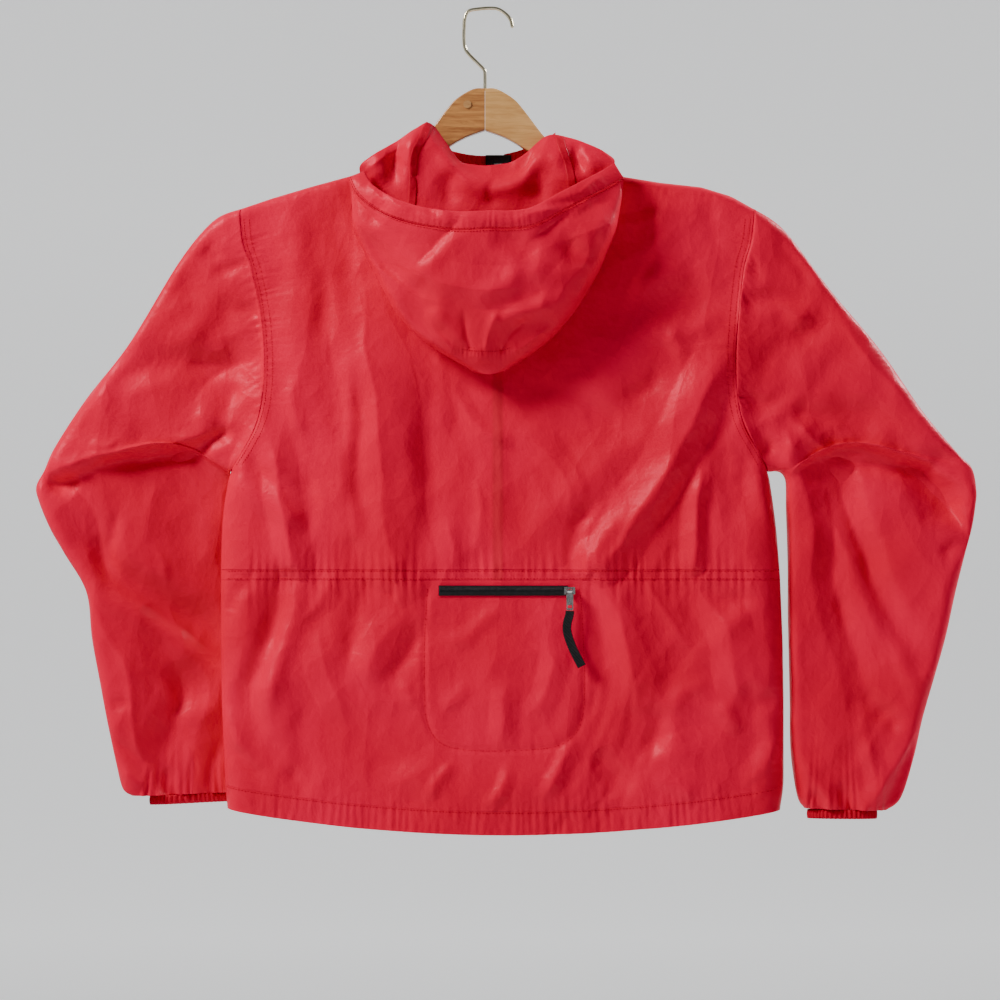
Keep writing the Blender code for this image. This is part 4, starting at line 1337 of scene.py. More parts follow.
LEFT_RINGS = Table("ox oz ix iz half iy rise ledge", (
    (-304, -232, -287.5, -508, 10, 0, 0, 0), (-341, -276, -286, -508.5, 10, 2, 0, 0),
    (-396, -366, -286, -510, 11, 5, 6, 0), (-444, -428, -285, -512, 11, 8, 14, 0),
    (-478, -480, -284, -513, 11, 11, 22, 0), (-490, -506, -283.5, -514, 11, 13, 30, 1),
    (-499, -524, -283.5, -519, 11, 17, 28, -1), (-496, -541, -283.5, -528, 10, 22, 8, -0.5),
    (-484, -570, -283, -548, 10, 26, 0, 0), (-468, -598, -281, -573, 10, 30, 0, 0),
    (-444, -640, -284, -608, 10, 33, 0, 0), (-438, -690, -276, -658, 10, 38, 0, 0),
    (-430, -734, -273, -704, 10, 38, 0, 0), (-421, -782, -277, -760, 10, 38, 0, 0),
    (-411, -829, -283, -818, 10, 38, 0, 0), (-404, -856, -287, -852, 10, 38, 0, 0),
    (-394, -864, -288, -864, 9, 38, 0, 0)))
RIGHT_RINGS = Table("ox oz ix iz half iy rise ledge", (
    (324, -243, 309.5, -508, 10, 0, 0, 0), (374, -308, 313, -507.5, 10, 1, 0, 0),
    (429, -374, 316.5, -508, 11, 2, 6, 0), (476, -442, 319.5, -509, 11, 3, 14, 0),
    (514, -487, 322, -511, 11, 4, 22, 0), (530, -504, 324, -514, 11, 5, 30, 1.9),
    (535, -528, 325.5, -519, 11, 6, 28, -1.6), (534, -545, 326, -528, 11, 6, 8, -0.9),
    (530, -570, 326, -548, 11, 6, 0, 0), (522, -600, 327, -580, 12, 5, 0, 0),
    (512, -640, 328, -620, 12, 5, 0, 0), (501, -690, 328, -665, 12, 5, 0, 0),
    (488, -736, 329, -712, 12, 4, 0, 0), (476, -778, 330, -762, 12, 4, 0, 0),
    (466, -822, 331, -816, 12, 4, 0, 0), (452, -866, 338, -864, 11, 4, 0, 0),
    (436, -880, 346, -878, 9, 4, 0, 0)))
LEFT_NEAR = (
    Gather(((248, 236), (253, 262), (259, 300), (262, 340), (260, 375), (259, 412)), 2.1, 5.8, 12, 41),
    Gather(((140, 798), (190, 801), (232, 800)), 2.4, 9.5, 24, 42))
RIGHT_NEAR = (
    Gather(((752, 236), (747, 262), (741, 300), (738, 340), (738, 380), (741, 412)), 2.1, 5.8, 12, 51),
    Gather(((800, 812), (840, 814), (884, 812)), 2.4, 9.5, 24, 52))
LEFT_NEAR += drawn("""width height profile start end path
    28 -9 facet 0.4 0.1 101,376 140,370 185,363 225,361 250,355
    12 5 pinch 0.7 0.2 101,378 101,400 120,425 140,445
    40 -12 facet 0.5 0.2 262,352 228,368 205,383 194,402
    9 5 pinch 0.2 0.8 193,412 212,418 229,425
    11 9 pinch 0.8 0.6 222,428 180,443 150,453 110,453 60,468
    10 -10 soft 0.9 0.4 223,433 190,452 150,458 90,462
    12 -12 soft 0.9 0.3 45,478 62,484 82,474
    6 4 pinch 0.3 0.4 88,442 108,447 120,438
    9 -4.5 soft 0.2 0.6 143,345 128,352 104,374
    9 3.4 soft 0 0 150,318 178,310 200,304
    9 -3.6 soft 0 0 204,246 214,256 222,250
    7 -3.6 soft 0.1 0.6 210,276 228,270 250,264
    20 -5 soft 0 0 228,292 222,320 196,345
    15 4 soft 0 0 214,300 196,330 168,356
    12 -3 soft 0 0 176,280 190,290 186,306
    7 -3 soft 0 0 236,306 252,312 258,322
    7 3.6 pinch 0 0 232,348 214,352 200,360
    14 -6 soft 0.3 0.9 238,378 228,405 222,430
    16 -6 facet 0.5 0.2 84,500 98,520 102,560 112,590
    17 -12 soft 0.2 0.6 62,492 84,530 108,566 140,592 190,618 228,650
    15 6 soft 0.1 0.3 70,545 108,592 150,620 190,655 218,686
    8 3.8 pinch 0.1 0.2 150,540 162,560 165,590
    12 2.8 soft 0 0 208,500 206,540 208,580
    7 -4 soft 0 0 115,506 114,530 108,556
    8 5 pinch 0.7 0.3 88,598 106,630 127,664 145,690
    9 6 pinch 0.6 0.7 127,664 132,700 137,742 148,768 158,795
    30 -11 facet 0.2 0.4 166,655 183,692 172,720 153,762
    7 3.2 soft 0 0 152,690 166,690 164,710
    13 5 soft 0.4 0.4 168,724 196,714 220,700
    8 4.5 pinch 0.3 0.8 181,742 192,760 198,790
    10 -5.5 soft 0.4 0.9 222,742 208,762 202,795
    7 -3.5 soft 0 0 108,706 122,704 134,700
    7 -4 soft 0.6 0.6 113,740 130,752 144,762
    7 4 soft 0 0 120,768 136,778 146,792
    8 -5.5 soft 0.3 0.9 160,766 166,780 172,798""")
LEFT_FAR = (
    Gather(((248, 236), (259, 300), (262, 340), (259, 412)), 1.7, 6.4, 20, 45),
    Gather(((140, 798), (190, 801), (232, 800)), 1.7, 7.5, 20, 46),
    *drawn("""width height profile start end path
    26 6 facet 0 0 240,300 190,380 120,440 60,480
    18 -6 soft 0 0 255,380 200,440 130,500
    24 6.5 facet 0 0 90,440 130,520 170,620 190,720
    16 -6 soft 0 0 200,500 180,600 200,700 185,790
    14 5 soft 0 0 110,600 140,690 150,790
    18 -4 soft 0 0 200,250 185,300 150,350"""))
RIGHT_NEAR += drawn("""width height profile start end path
    12 -9 pinch 0.6 0.7 898,452 930,480 955,515 970,542
    12 -6 soft 0.8 0.2 752,303 772,298 795,298 820,300
    9 4.5 pinch 0.3 0.3 764,318 782,309 800,318 826,310
    13 -6 soft 0.5 0.6 782,322 804,336 830,308
    9 -4 soft 0 0 775,250 798,266 814,290
    6 -2.6 soft 0 0 750,262 760,280 764,284
    7 4.6 pinch 0.2 0.4 842,322 856,345 874,369
    8 4 pinch 0.5 0.6 874,369 890,382 910,392
    16 -3.6 soft 0 0 752,372 775,355 795,336
    8 -3.6 soft 0.7 0.2 742,396 770,404 800,385
    13 -7 soft 0.4 0.2 760,410 780,414 830,418 865,428 890,436
    12 -5 soft 0.1 0.4 820,400 860,410 888,420 900,436
    10 9 pinch 0.7 0.5 790,420 806,432 826,450 862,458 930,462
    12 -10 soft 0 0.5 826,460 880,462 912,466 950,462 985,478
    9 5 pinch 0.5 0.6 752,430 768,418 790,414
    8 -5 soft 0 0 750,456 764,448 776,440
    7 4.5 pinch 0 0 784,424 790,446 802,452
    18 -12 soft 0.6 0.4 912,466 934,494 962,520 972,522
    9 5.5 pinch 0.3 0.6 950,504 966,518 972,545
    9 -3 soft 0 0 916,520 934,516 942,528
    9 -5 soft 0.1 0.7 936,556 952,549 970,542
    22 -10 facet 0.8 0.2 834,444 846,500 868,570 890,620 918,662
    12 -6 soft 0.7 0.1 850,452 858,520 886,600 908,650
    30 -10 facet 0.8 0.2 818,446 832,520 836,600 858,660 868,730
    18 4 soft 0.8 0 800,446 806,520 812,600
    8 3.6 soft 0.8 0.3 789,446 788,560 792,680 792,755
    11 4.5 soft 0 0 870,560 895,640 912,690 918,726
    7 -4 soft 0 0 836,594 845,612 852,632
    10 -6 soft 0.5 0.2 868,706 885,716 902,734
    11 -3.4 soft 0 0 842,706 862,698 880,690
    16 5 facet 0.2 0.7 860,715 872,770 880,812
    7 4 pinch 0 0 916,664 930,680 936,692
    9 -7 soft 0.6 0.9 920,734 905,760 893,790 884,812
    7 5 pinch 0.4 0.8 912,735 896,760 876,792
    11 5 soft 0.5 0.9 792,758 812,780 826,806
    7 -5.5 soft 0.2 1 808,786 818,800 822,816
    7 -5.5 soft 0.2 1 838,782 846,800 850,816
    7 4.5 soft 0.2 1 866,780 866,800 862,816""")
RIGHT_FAR = (
    Gather(((752, 236), (741, 300), (738, 340), (741, 412)), 1.7, 6.4, 20, 55),
    Gather(((800, 812), (840, 814), (884, 812)), 1.7, 7.5, 20, 56),
    *drawn("""width height profile start end path
    26 6 facet 0 0 760,300 820,380 890,440 960,490
    18 -6 soft 0 0 750,390 810,440 880,500
    24 6.5 facet 0 0 930,470 890,560 860,660 850,760
    16 -6 soft 0 0 800,480 820,600 800,700 830,800
    14 5 soft 0 0 910,600 880,690 870,800
    18 -4 soft 0 0 800,250 815,300 850,350"""))


@dataclass(frozen=True)
class Cuff:
    """An elastic band at a sleeve's end, drawn up into small waves."""

    left: float
    right: float
    z: float
    half: float
    height: float = 10.0
    waves: int = 46
    wave: float = 1.1

    def grid(self, sleeve: Sleeve) -> Array:
        """The band's points, closed round the wrist.

        Args:
            sleeve: the sleeve it is sewn to.

        Returns:
            Rows down, columns round.
        """
        last = dict(zip(sleeve.rings.columns.split(), sleeve.rings.rows[-1]))
        turn = np.linspace(0, 2 * math.pi, 9 * self.waves, endpoint=False)
        middle, reach = (self.left + self.right) / 2, (self.right - self.left) / 2
        rows = []
        for down in np.linspace(0, 1, 9):
            ends = 0.65 + 0.35 * abs(2 * down - 1)
            swell = 0.9 * math.sin(math.pi * down)
            ripple = np.cos(turn * self.waves + 0.7 * wobble(turn, 1.1, 60))
            wave = swell + ends * self.wave * ripple * (0.45 + 0.55 * np.abs(np.sin(turn)))
            x = middle + (reach + wave) * np.cos(turn)
            lean = last["iy"] * smooth((x - last["ox"]) / (last["ix"] - last["ox"]))
            y = lean + (self.half + wave) * np.sin(turn)
            rows.append(np.stack((x, y, np.full(turn.shape, self.z + self.height * (0.5 - down))), -1))
        return np.array(rows)


# ------------------------------------------------------------------ the hood
HOOD_FOLDS = (
    Fold(-145, -250, -70, -330, 12, -5.0), Fold(-85, -300, -40, -255, 11, 4.0),
    Fold(5, -262, 60, -300, 12, 4.5), Fold(10, -345, 80, -325, 10, 3.5),
    Fold(-60, -340, -10, -385, 8, 3.0), Fold(60, -250, 110, -280, 10, -3.0))
HOOD_MARKS = (
    Gather(((372, 206), (393, 224), (425, 230), (456, 232), (530, 231), (597, 205), (612, 190)),
           0.3, 7.5, 12, 61),
    Gather(((436, 350), (478, 356), (520, 352)), 0.9, 4.6, 6, 62),
    *drawn("""width height profile start end path
    14 -7.5 soft 0.6 0.1 352,228 372,252 398,276 425,300 448,312
    9 5 pinch 0.4 0.1 356,240 385,276 430,305 472,312
    6 -5 pinch 0.8 0.3 458,230 440,248 415,276
    26 5 facet 0.4 0.2 415,277 450,290 500,296 540,290
    13 -5 soft 0 0 488,238 515,252 542,274
    12 4.6 soft 0 0 500,320 530,314 558,298
    12 -4.5 soft 0 0 560,235 575,260 600,268
    26 6 facet 0.3 0.2 600,225 585,262 560,300 545,335
    11 4 soft 0 0 520,262 505,290 470,300
    9 -4.5 soft 0 0 395,300 430,330 462,338
    4 4.2 pinch 1 0 452,352 440,338 426,318
    4 -4.2 pinch 1 0 470,350 466,334 464,312
    4 4.2 pinch 1 0 486,350 490,332 500,314
    4 -4 pinch 1 0 502,352 512,336 530,320
    4 3.8 pinch 1 0 516,353 534,342 552,326
    9 -3 soft 0 0 372,235 380,215 392,205"""))
HOOD_CASING_MARKS = (
    Gather(((364, 180), (393, 212), (430, 220), (480, 223), (532, 219), (583, 196), (608, 172)),
           0.1, 7.0, 10, 63),
    *drawn("""width height profile start end path
    3 2.6 pinch 0 0 368,188 382,203 388,215
    4 2.8 pinch 0 0 384,194 398,210 418,222
    4 -2.4 soft 0 0 404,205 424,214 446,226
    4 2.2 pinch 0 0 436,213 452,221 482,227
    4 2.4 pinch 0 0 512,227 536,219 560,215
    4 -2.2 soft 0 0 540,213 566,208 590,200
    3 2.6 pinch 0 0 574,206 588,190 606,178"""))
NAPE_MARKS = drawn("""width height profile start end path
    12 -5 soft 0 0 430,132 446,160 470,184 500,192 528,180 552,145
    9 -5 soft 0 0 424,130 414,150 409,172 412,205
    12 6 facet 0 0 408,132 396,160 394,196
    10 -5 soft 0 0 384,148 378,170 384,190
    10 4 pinch 0 0 370,158 400,165 430,200
    10 5 soft 0 0 462,170 448,190 452,214
    10 4.5 pinch 0 0 495,175 490,195 500,214
    11 5 soft 0 0 530,165 540,185 532,212
    9 -5 soft 0 0 552,150 558,170 566,192
    11 6 facet 0 0 570,146 578,165 586,184
    10 -4.5 soft 0 0 600,155 590,170 560,196""")


@dataclass(frozen=True)
class Hood:
    """The hood, hanging open down the back: a crown, its casing and a nape inside."""

    body: Body
    rows: Table = Table("z left right bulge", (
        (-186, -145, 138, 30), (-205, -150, 144, 38), (-243, -150, 138, 47), (-289, -127, 120, 47),
        (-334, -104, 93, 38), (-360, -81, 71, 29), (-377, -56, 51, 21), (-391, -34, 29, 14),
        (-399, -14, 11, 9)))
    mouth: tuple = (
        (-136, -45, -182), (-127, -58, -198), (-104, -70, -214), (-82, -76, -222), (-59, -79, -227),
        (-32, -81, -230), (0, -82, -229), (22, -81, -229), (45, -78, -225), (77, -67, -207),
        (99, -60, -195), (120, -49, -183), (135, -42, -173))
    crest: tuple = (
        (-139, -34, -173), (-116, -31, -157), (-87, -26, -139), (-69, -24, -127), (-55, -24, -140),
        (-37, -27, -168), (-17, -28, -184), (22, -28, -187), (40, -27, -173), (52, -25, -151),
        (70, -24, -140), (97, -27, -148), (117, -31, -156), (133, -30, -166))
    columns: tuple = (0, .02, .06, .13, .22, .31, .4, .5, .6, .69, .78, .87, .94, .98, 1)
    crest_stations: tuple = (0, .06, .12, .18, .25, .33, .41, .5, .59, .67, .75, .82, .88, .94, 1)
    nape_stations: tuple = (-.9, -.85, -.8, -.75, -.5, -.35, -.25, 0, .25, .35, .5, .75, .8, .85, .9)
    nape_rows: tuple = (.06, .14, .26, .42, .58, .74, .87, .955, .99, 1)
    casing: float = 20.0
    casing_swell: float = 2.0
    seam: float = 0.7
    low: float = -399.0
    nape_rise: float = 9.0

    def fold_y(self, z: Array) -> Array:
        """The side folds' y."""
        return -33.0 - 8.0 * smooth((z + 270.0) / 80.0)

    def outer(self, x: Array, z: Array) -> Array:
        """The crown's outer y, before its creases.

        Args:
            x, z: the places.

        Returns:
            Its y in mm.
        """
        left, right = self.rows.read("left", z, 7), self.rows.read("right", z, 7)
        side, width = np.minimum(x - left, right - x), right - left
        bulge = self.rows.read("bulge", z, 8) + relief(HOOD_FOLDS, x, z)
        dome = rounded(side / width, 0.5) * 0.75 + rounded(side, 9.0) * 0.25
        return self.fold_y(z) - 0.45 - bulge * dome

    def casing_row(self, t: Array, drop: float) -> Array:
        """One row of the band round the face opening.

        Args:
            t: shares from its left corner to its right.
            drop: 0 at the mouth's edge, 1 at the seam.

        Returns:
            The row's points in mm.
        """
        line = follow(np.array(self.mouth, float), t)
        ahead = follow(np.array(self.mouth, float), np.minimum(t + 0.02, 1))
        run = ahead - follow(np.array(self.mouth, float), np.maximum(t - 0.02, 0))
        run /= np.linalg.norm(run[:, (0, 2)], axis=1, keepdims=True)
        end = rounded(np.minimum(t, 1 - t), 0.12)
        reach = (self.casing - 0.3) * drop
        swell = self.casing_swell * math.sin(math.pi * drop) * end
        return np.stack((line[:, 0] + run[:, 2] * reach * 0.9, line[:, 1] - swell,
                         line[:, 2] - run[:, 0] * reach), -1)

    @staticmethod
    def fine(x: Array, z: Array) -> Array:
        """The creases of the crown and the casing."""
        return relief(HOOD_MARKS + HOOD_CASING_MARKS, x, z) + 0.45 * cloth_crumple(x, z, 70)

    def casing_grid(self) -> Array:
        """The gathered band.

        Returns:
            Its points, rows down, in mm.
        """
        t = np.linspace(0, 1, 340)
        grid = np.array([self.casing_row(t, drop) for drop in np.linspace(0, 1, 15)])
        end = rounded(np.minimum(t, 1 - t) * 200, 16.0)
        down = np.linspace(0, 1, 15)[:, None]
        grid[..., 1] -= end * (self.fine(grid[..., 0], grid[..., 2]) + 0.5 * np.sin(math.pi * down))
        return grid

    def crown_grid(self) -> Array:
        """The pouch's outer wall.

        Returns:
            Its points, rows down, in mm.
        """
        t = np.linspace(0, 1, 132)[:, None]
        share = np.interp(edged(126, 0.03, 7), np.linspace(0, 1, len(self.columns)), self.columns)
        low = self.casing_row(share, 1.0)
        z = mix(low[:, 2] - self.seam, self.low - 4.0 * np.sin(math.pi * share), t)
        left, right = self.rows.read("left", z, 7), self.rows.read("right", z, 7)
        x = mix(low[:, 0], mix(left, right, share), smooth(t / 0.14))
        y = mix(low[:, 1], self.outer(x, z), np.minimum(1, t / 0.24))
        side = rounded(np.minimum(share, 1 - share) * 200, 16.0) * rounded((z - self.low), 14.0)
        return np.stack((x, y - side * self.fine(x, z), z), -1)

    def nape_grid(self) -> Array:
        """The wall from the neckline over the crest and down inside the pouch.

        Returns:
            Its points, in mm.
        """
        body, stations = self.body, np.array(self.nape_stations)
        x = body.hanger_x + body.neck_half_width * stations
        y = body.edge_y + body.neck_depth * body.neck_open(x)
        neck = np.stack((x, -y, body.top(x) + 0.3), -1)
        collar = neck + np.array((0, -0.6, 3.0))
        share = np.array(self.columns)
        crest = follow(np.array(self.crest, float), self.crest_stations)
        grid = [neck, collar]
        outward = np.maximum(0.0, 1 - np.minimum(share, 1 - share) / 0.2)
        for part in (0.15, 0.5):
            row = mix(collar, crest, part)
            row[:, 2] += self.nape_rise * outward * math.sin(math.pi * part ** 0.6)
            grid.append(row)
        grid.append(crest)
        for t in self.nape_rows:
            z = mix(crest[:, 2], self.low, t)
            left, right = self.rows.read("left", z, 7), self.rows.read("right", z, 7)
            x = mix(crest[:, 0], mix(left, right, share), min(1.0, t / 0.14))
            y = self.fold_y(z) + 1.0 + 4.5 * rounded(np.minimum(x - left, right - x), 9.0)
            grid.append(np.stack((x, mix(crest[:, 1], y, min(1.0, t / 0.06)), z), -1))
        fine = follow(np.array(grid), np.linspace(0, 1, 110)).transpose(1, 0, 2)
        fine = follow(fine, edged(120, 0.03, 5)).transpose(1, 0, 2)
        x, z = fine[..., 0], fine[..., 2]
        edge = rounded(z + 394, 20.0)
        fine[..., 1] += edge * (relief(NAPE_MARKS, x, z) + 0.5 * cloth_crumple(x, z, 79))
        return fine


# ------------------------------------------------------------------ sub-assemblies
@dataclass(frozen=True)
class Finishes:
    """The jacket's and the hanger's materials."""

    shell: Material
    back: Material
    band: Material
    tape: Material
    webbing: Material
    metal: Material
    coil: Material
    thread: Material
    wood_left: Material
    wood_right: Material
    plug: Material
    brass: Material


def make_finishes() -> Finishes:
    """Builds every material once."""
    return Finishes(
        shell=Nylon("nylon_shell").make(),
        back=Nylon("nylon_back", zip_shadow=True).make(),
        band=Nylon("nylon_band", (0.66, 0.001, 0.033), (0.54, 0.001, 0.022), 0.46).make(),
        tape=Woven("zip_tape").make(),
        webbing=Woven("pull_webbing", colour=(0.005, 0.005, 0.006), rib=1100.0, depth=0.0003).make(),
        metal=Metal("zip_metal").make(),
        coil=Woven("zip_coil", colour=(0.022, 0.022, 0.024), rib=600.0, depth=0.00002).make(),
        thread=Nylon("sewing_thread", (0.50, 0.002, 0.010), (0.40, 0.001, 0.006), 0.6).make(),
        wood_left=Wood("wood_left", light=(0.66, 0.30, 0.085), dark=(0.32, 0.11, 0.03)).make(),
        wood_right=Wood("wood_right", light=(0.82, 0.47, 0.17), dark=(0.56, 0.26, 0.075), grain=1.3).make(),
        plug=Wood("wood_plug", light=(0.66, 0.36, 0.14), dark=(0.40, 0.18, 0.06)).make(),
        brass=Metal("hook_brass", colour=(0.84, 0.76, 0.56), worn=(0.70, 0.60, 0.38), roughness=0.2).make())


def sew(name: str, lines: list, finish: Material, pitch: float = 3.4, slot: str = "nylon") -> None:
    """Sews rows of stitches along lines that lie on the cloth.

    Args:
        name: the stitches' name.
        lines: arrays of points in mm.
        finish: the thread's material.
        pitch: from stitch to stitch.
        slot: the record's material slot.
    """
    place(Thread(name, pitch, pitch * 0.62, 0.5).lay(lines, finish), "jacket", slot)


@dataclass(frozen=True)
class Back:
    """The back's two panels, the waist casing and the hem casing."""

    body: Body
    finishes: Finishes
    columns: int = 230
    flat_width: float = 0.64
    waist_rows: float = 4.2
    stitched_x: tuple = (-288, 310)

    def face(self) -> Face:
        """The surface that the whole back lies on."""
        marks = UPPER_BACK_MARKS + LOWER_BACK_MARKS + CASING_MARKS + HEM_MARKS
        return Face(self.body, -1, BACK_FOLDS, marks, 11, 1.0, ZIP_FLAT)

    def panels(self) -> list:
        """Each piece with its material and cut.

        Returns:
            Rows of a panel, its finish and its cut.
        """
        body, face, f = self.body, self.face(), self.finishes
        sides = (lambda z: body.side("left", z), lambda z: body.side("right", z))
        levels = (body.top, lambda x: body.waist(x, 1), lambda x: body.waist(x, -1), body.hem_top, body.hem)
        rows = (("back_upper", "back_upper", 150, f.back, 0.46, 0.262),
                ("waist_casing", "waist_casing", 7, f.back, 0.0125, None),
                ("back_lower", "back_lower", 84, f.shell, 0.265, 0.166),
                ("hem_back", "hem_casing_back", 11, f.shell, 0.028, None))
        return [(Panel(f"{name}_cloth", face, top, low, *sides, self.columns, count), finish,
                 Cut((node,), (self.flat_width, tall), area))
                for (name, node, count, finish, tall, area), top, low in zip(rows, levels, levels[1:])]

    def build(self) -> None:
        """Hangs the four pieces."""
        for panel, finish, cut in self.panels():
            hang(Sheet(panel.name, panel.grid(), finish, turned=True), cut)

    def dress(self) -> None:
        """Sews the armholes, the casings, the hem and the stow pocket's outline."""
        face, body, thread = self.face(), self.body, self.finishes.thread
        sew("armhole_stitches", face.armhole_rows((3.0, 9.0)), thread, 3.0)
        x = np.linspace(*self.stitched_x, 320)
        rows = [face.laid(x, body.waist(x, 0) + dz) for dz in (self.waist_rows, -self.waist_rows)]
        sew("waist_stitches", rows, thread, 3.6)
        sew("hem_stitches", [face.laid(x, body.hem_top(x) - SEWN_IN)], thread, 3.6)
        path = follow(np.array([((px - DRAWING_X) * STEP, (DRAWING_Z - pz) * STEP) for px, pz in BAG]),
                      np.linspace(0, 1, 240))
        path = path[path[:, 1] < BAG_SEWN_BELOW]
        sew("pocket_stitches", [face.laid(path[:, 0], path[:, 1])], thread, 3.2)


@dataclass(frozen=True)
class Fronts:
    """The two fronts with their hem casings and neck bands."""

    body: Body
    finishes: Finishes
    columns: int = 84
    band_height: float = 20.0
    band_pitch: float = 5.5
    sewn_beside: float = 4.0
    zip_sewn: tuple = (-196, -875)
    hem_sewn: tuple = ((-286, -4), (22, 308))

    def faces(self) -> Face:
        """The surface both fronts lie on."""
        return Face(self.body, 1, FRONT_FOLDS, FRONT_MARKS, 21)

    def build(self) -> None:
        """Hangs the four panels and the two bands."""
        body, face = self.body, self.faces()
        zip_edge = {"left": body.zip_x - body.zip_half_gap, "right": body.zip_x + body.zip_half_gap}
        for side in ("left", "right"):
            edges = [lambda z, s=side: body.side(s, z), lambda z, s=side: np.full(np.shape(z), zip_edge[s])]
            if side == "right":
                edges.reverse()
            panel = Panel(f"front_{side}_cloth", face, body.top, body.hem_top, *edges, self.columns, 170)
            hang(Sheet(panel.name, panel.grid(), self.finishes.shell),
                 Cut((f"front_{side}",), (0.32, 0.73), 0.205))
            hem = Panel(f"hem_front_{side}_cloth", face, body.hem_top, body.hem, *edges, self.columns, 8)
            hang(Sheet(hem.name, hem.grid(), self.finishes.shell),
                 Cut((f"hem_casing_front_{side}",), (0.32, 0.028), None))
        self.bands(zip_edge)

    def bands(self, zip_edge: dict) -> None:
        """The gathered bands on the front neckline.

        Args:
            zip_edge: the x of each front's zip edge.
        """
        body = self.body
        reach = 0.95 * body.neck_half_width
        spans = {"left": (body.hanger_x - reach, zip_edge["left"]),
                 "right": (zip_edge["right"], body.hanger_x + reach)}
        for side, (start, end) in spans.items():
            x = np.broadcast_to(np.linspace(start, end, 130), (11, 130))
            up = np.linspace(0.3, self.band_height, 11)[:, None]
            y = body.edge_y + body.neck_depth * body.neck_open(x)
            waves = np.sin(2 * math.pi * x / self.band_pitch + 2 * wobble(x, 23, 90))
            pucker = 0.7 * waves * np.sin(math.pi * up / (self.band_height + 0.5)) ** 0.5
            grid = np.stack((x, y + pucker * 0.8, body.top(x) + up), -1)[::-1]
            hang(Sheet(f"neck_band_{side}_cloth", grid, self.finishes.band),
                 Cut((f"neck_band_{side}",), (abs(end - start) * MM * 1.25, 0.020), None))

    def dress(self) -> None:
        """Sews the zip edges, the armholes and the hem."""
        body, face = self.body, self.faces()
        lines = []
        for sign in (-1, 1):
            z = np.linspace(*self.zip_sewn, 400)
            x = np.full(z.shape, body.zip_x + sign * (body.zip_half_gap + self.sewn_beside))
            lines.append(face.laid(x, z))
        lines += face.armhole_rows((self.sewn_beside,))
        for start, end in self.hem_sewn:
            x = np.linspace(start, end, 170)
            lines.append(face.laid(x, body.hem_top(x) - SEWN_IN))
        sew("front_stitches", lines, self.finishes.thread, 3.6)


@dataclass(frozen=True)
class Arms:
    """Both sleeves with their elastic cuffs."""

    body: Body
    finishes: Finishes

    def parts(self) -> list:
        """Sets out the sleeves.

        Returns:
            Each sleeve with its cuff.
        """
        left = Sleeve("left", self.body, LEFT_RINGS, LEFT_NEAR, LEFT_FAR, 31)
        right = Sleeve("right", self.body, RIGHT_RINGS, RIGHT_NEAR, RIGHT_FAR, 41)
        return [(left, Cuff(-374, -291, -869.4, 8.0)), (right, Cuff(350, 425, -884.4, 8.0))]

    def build(self) -> None:
        """Hangs the sleeves and cuffs."""
        for sleeve, cuff in self.parts():
            side = sleeve.side
            hang(Sheet(f"sleeve_{side}_cloth", sleeve.grid(), self.finishes.shell, closed=True,
                       turned=side == "left"),
                 Cut((f"sleeve_{side}_back", f"sleeve_{side}_front"), (0.56, 0.62), 0.245))
            hang(Sheet(f"cuff_{side}_cloth", cuff.grid(sleeve), self.finishes.band, closed=True,
                       turned=True),
                 Cut((f"cuff_{side}",), (0.24, 0.0102), None))


@dataclass(frozen=True)
class HoodCloth:
    """The hood's three pieces and their sewing."""

    hood: Hood
    finishes: Finishes

    def build(self) -> None:
        """Hangs the crown, the casing and the nape."""
        f = self.finishes
        hang(Sheet("hood_crown_cloth", self.hood.crown_grid(), f.shell, turned=True),
             Cut(("hood_crown",), (0.32, 0.22), 0.048))
        hang(Sheet("hood_casing_cloth", self.hood.casing_grid(), f.shell, turned=True),
             Cut(("hood_casing",), (0.40, 0.021), None))
        hang(Sheet("hood_nape_cloth", self.hood.nape_grid(), f.shell),
             Cut(("hood_nape",), (0.33, 0.27), 0.064))

    def dress(self) -> None:
        """Sews the casing, the tuck at the bottom and the two seam tapes inside."""
        casing, nape = self.hood.casing_grid(), self.hood.nape_grid()
        out = np.array((0, -0.4, 0))
        crown = self.hood.crown_grid()
        sew("hood_stitches", [casing[-2] + out, crown[1] + out], self.finishes.thread, 3.4)
        low = np.argmin(np.abs(crown[:, 76, 2] + 378.0))
        tuck = crown[low, 45:93] + out
        sew("tuck_stitches", [tuck, tuck + np.array((0, -0.2, 3.0))], self.finishes.thread, 2.6)
        for name, column in (("left", 38), ("right", 96)):
            run = nape[28:84, column]
            across = nape[28:84, column + 1] - nape[28:84, column - 1]
            across /= np.linalg.norm(across, axis=-1, keepdims=True)
            puff = 0.5 * np.sin(np.arange(len(run)) * 1.6)[:, None] * UP_Y
            grid = np.stack([run + across * s * 4.6 + np.array((0, -1.1, 0)) + puff * (1 - abs(s)) for s in
                             np.linspace(-1, 1, 7)], 1)
            hang(Sheet(f"hood_tape_{name}", grid, self.finishes.band, turned=True, wall=0.4),
                 Cut((), (0.0102, 0.21), None))


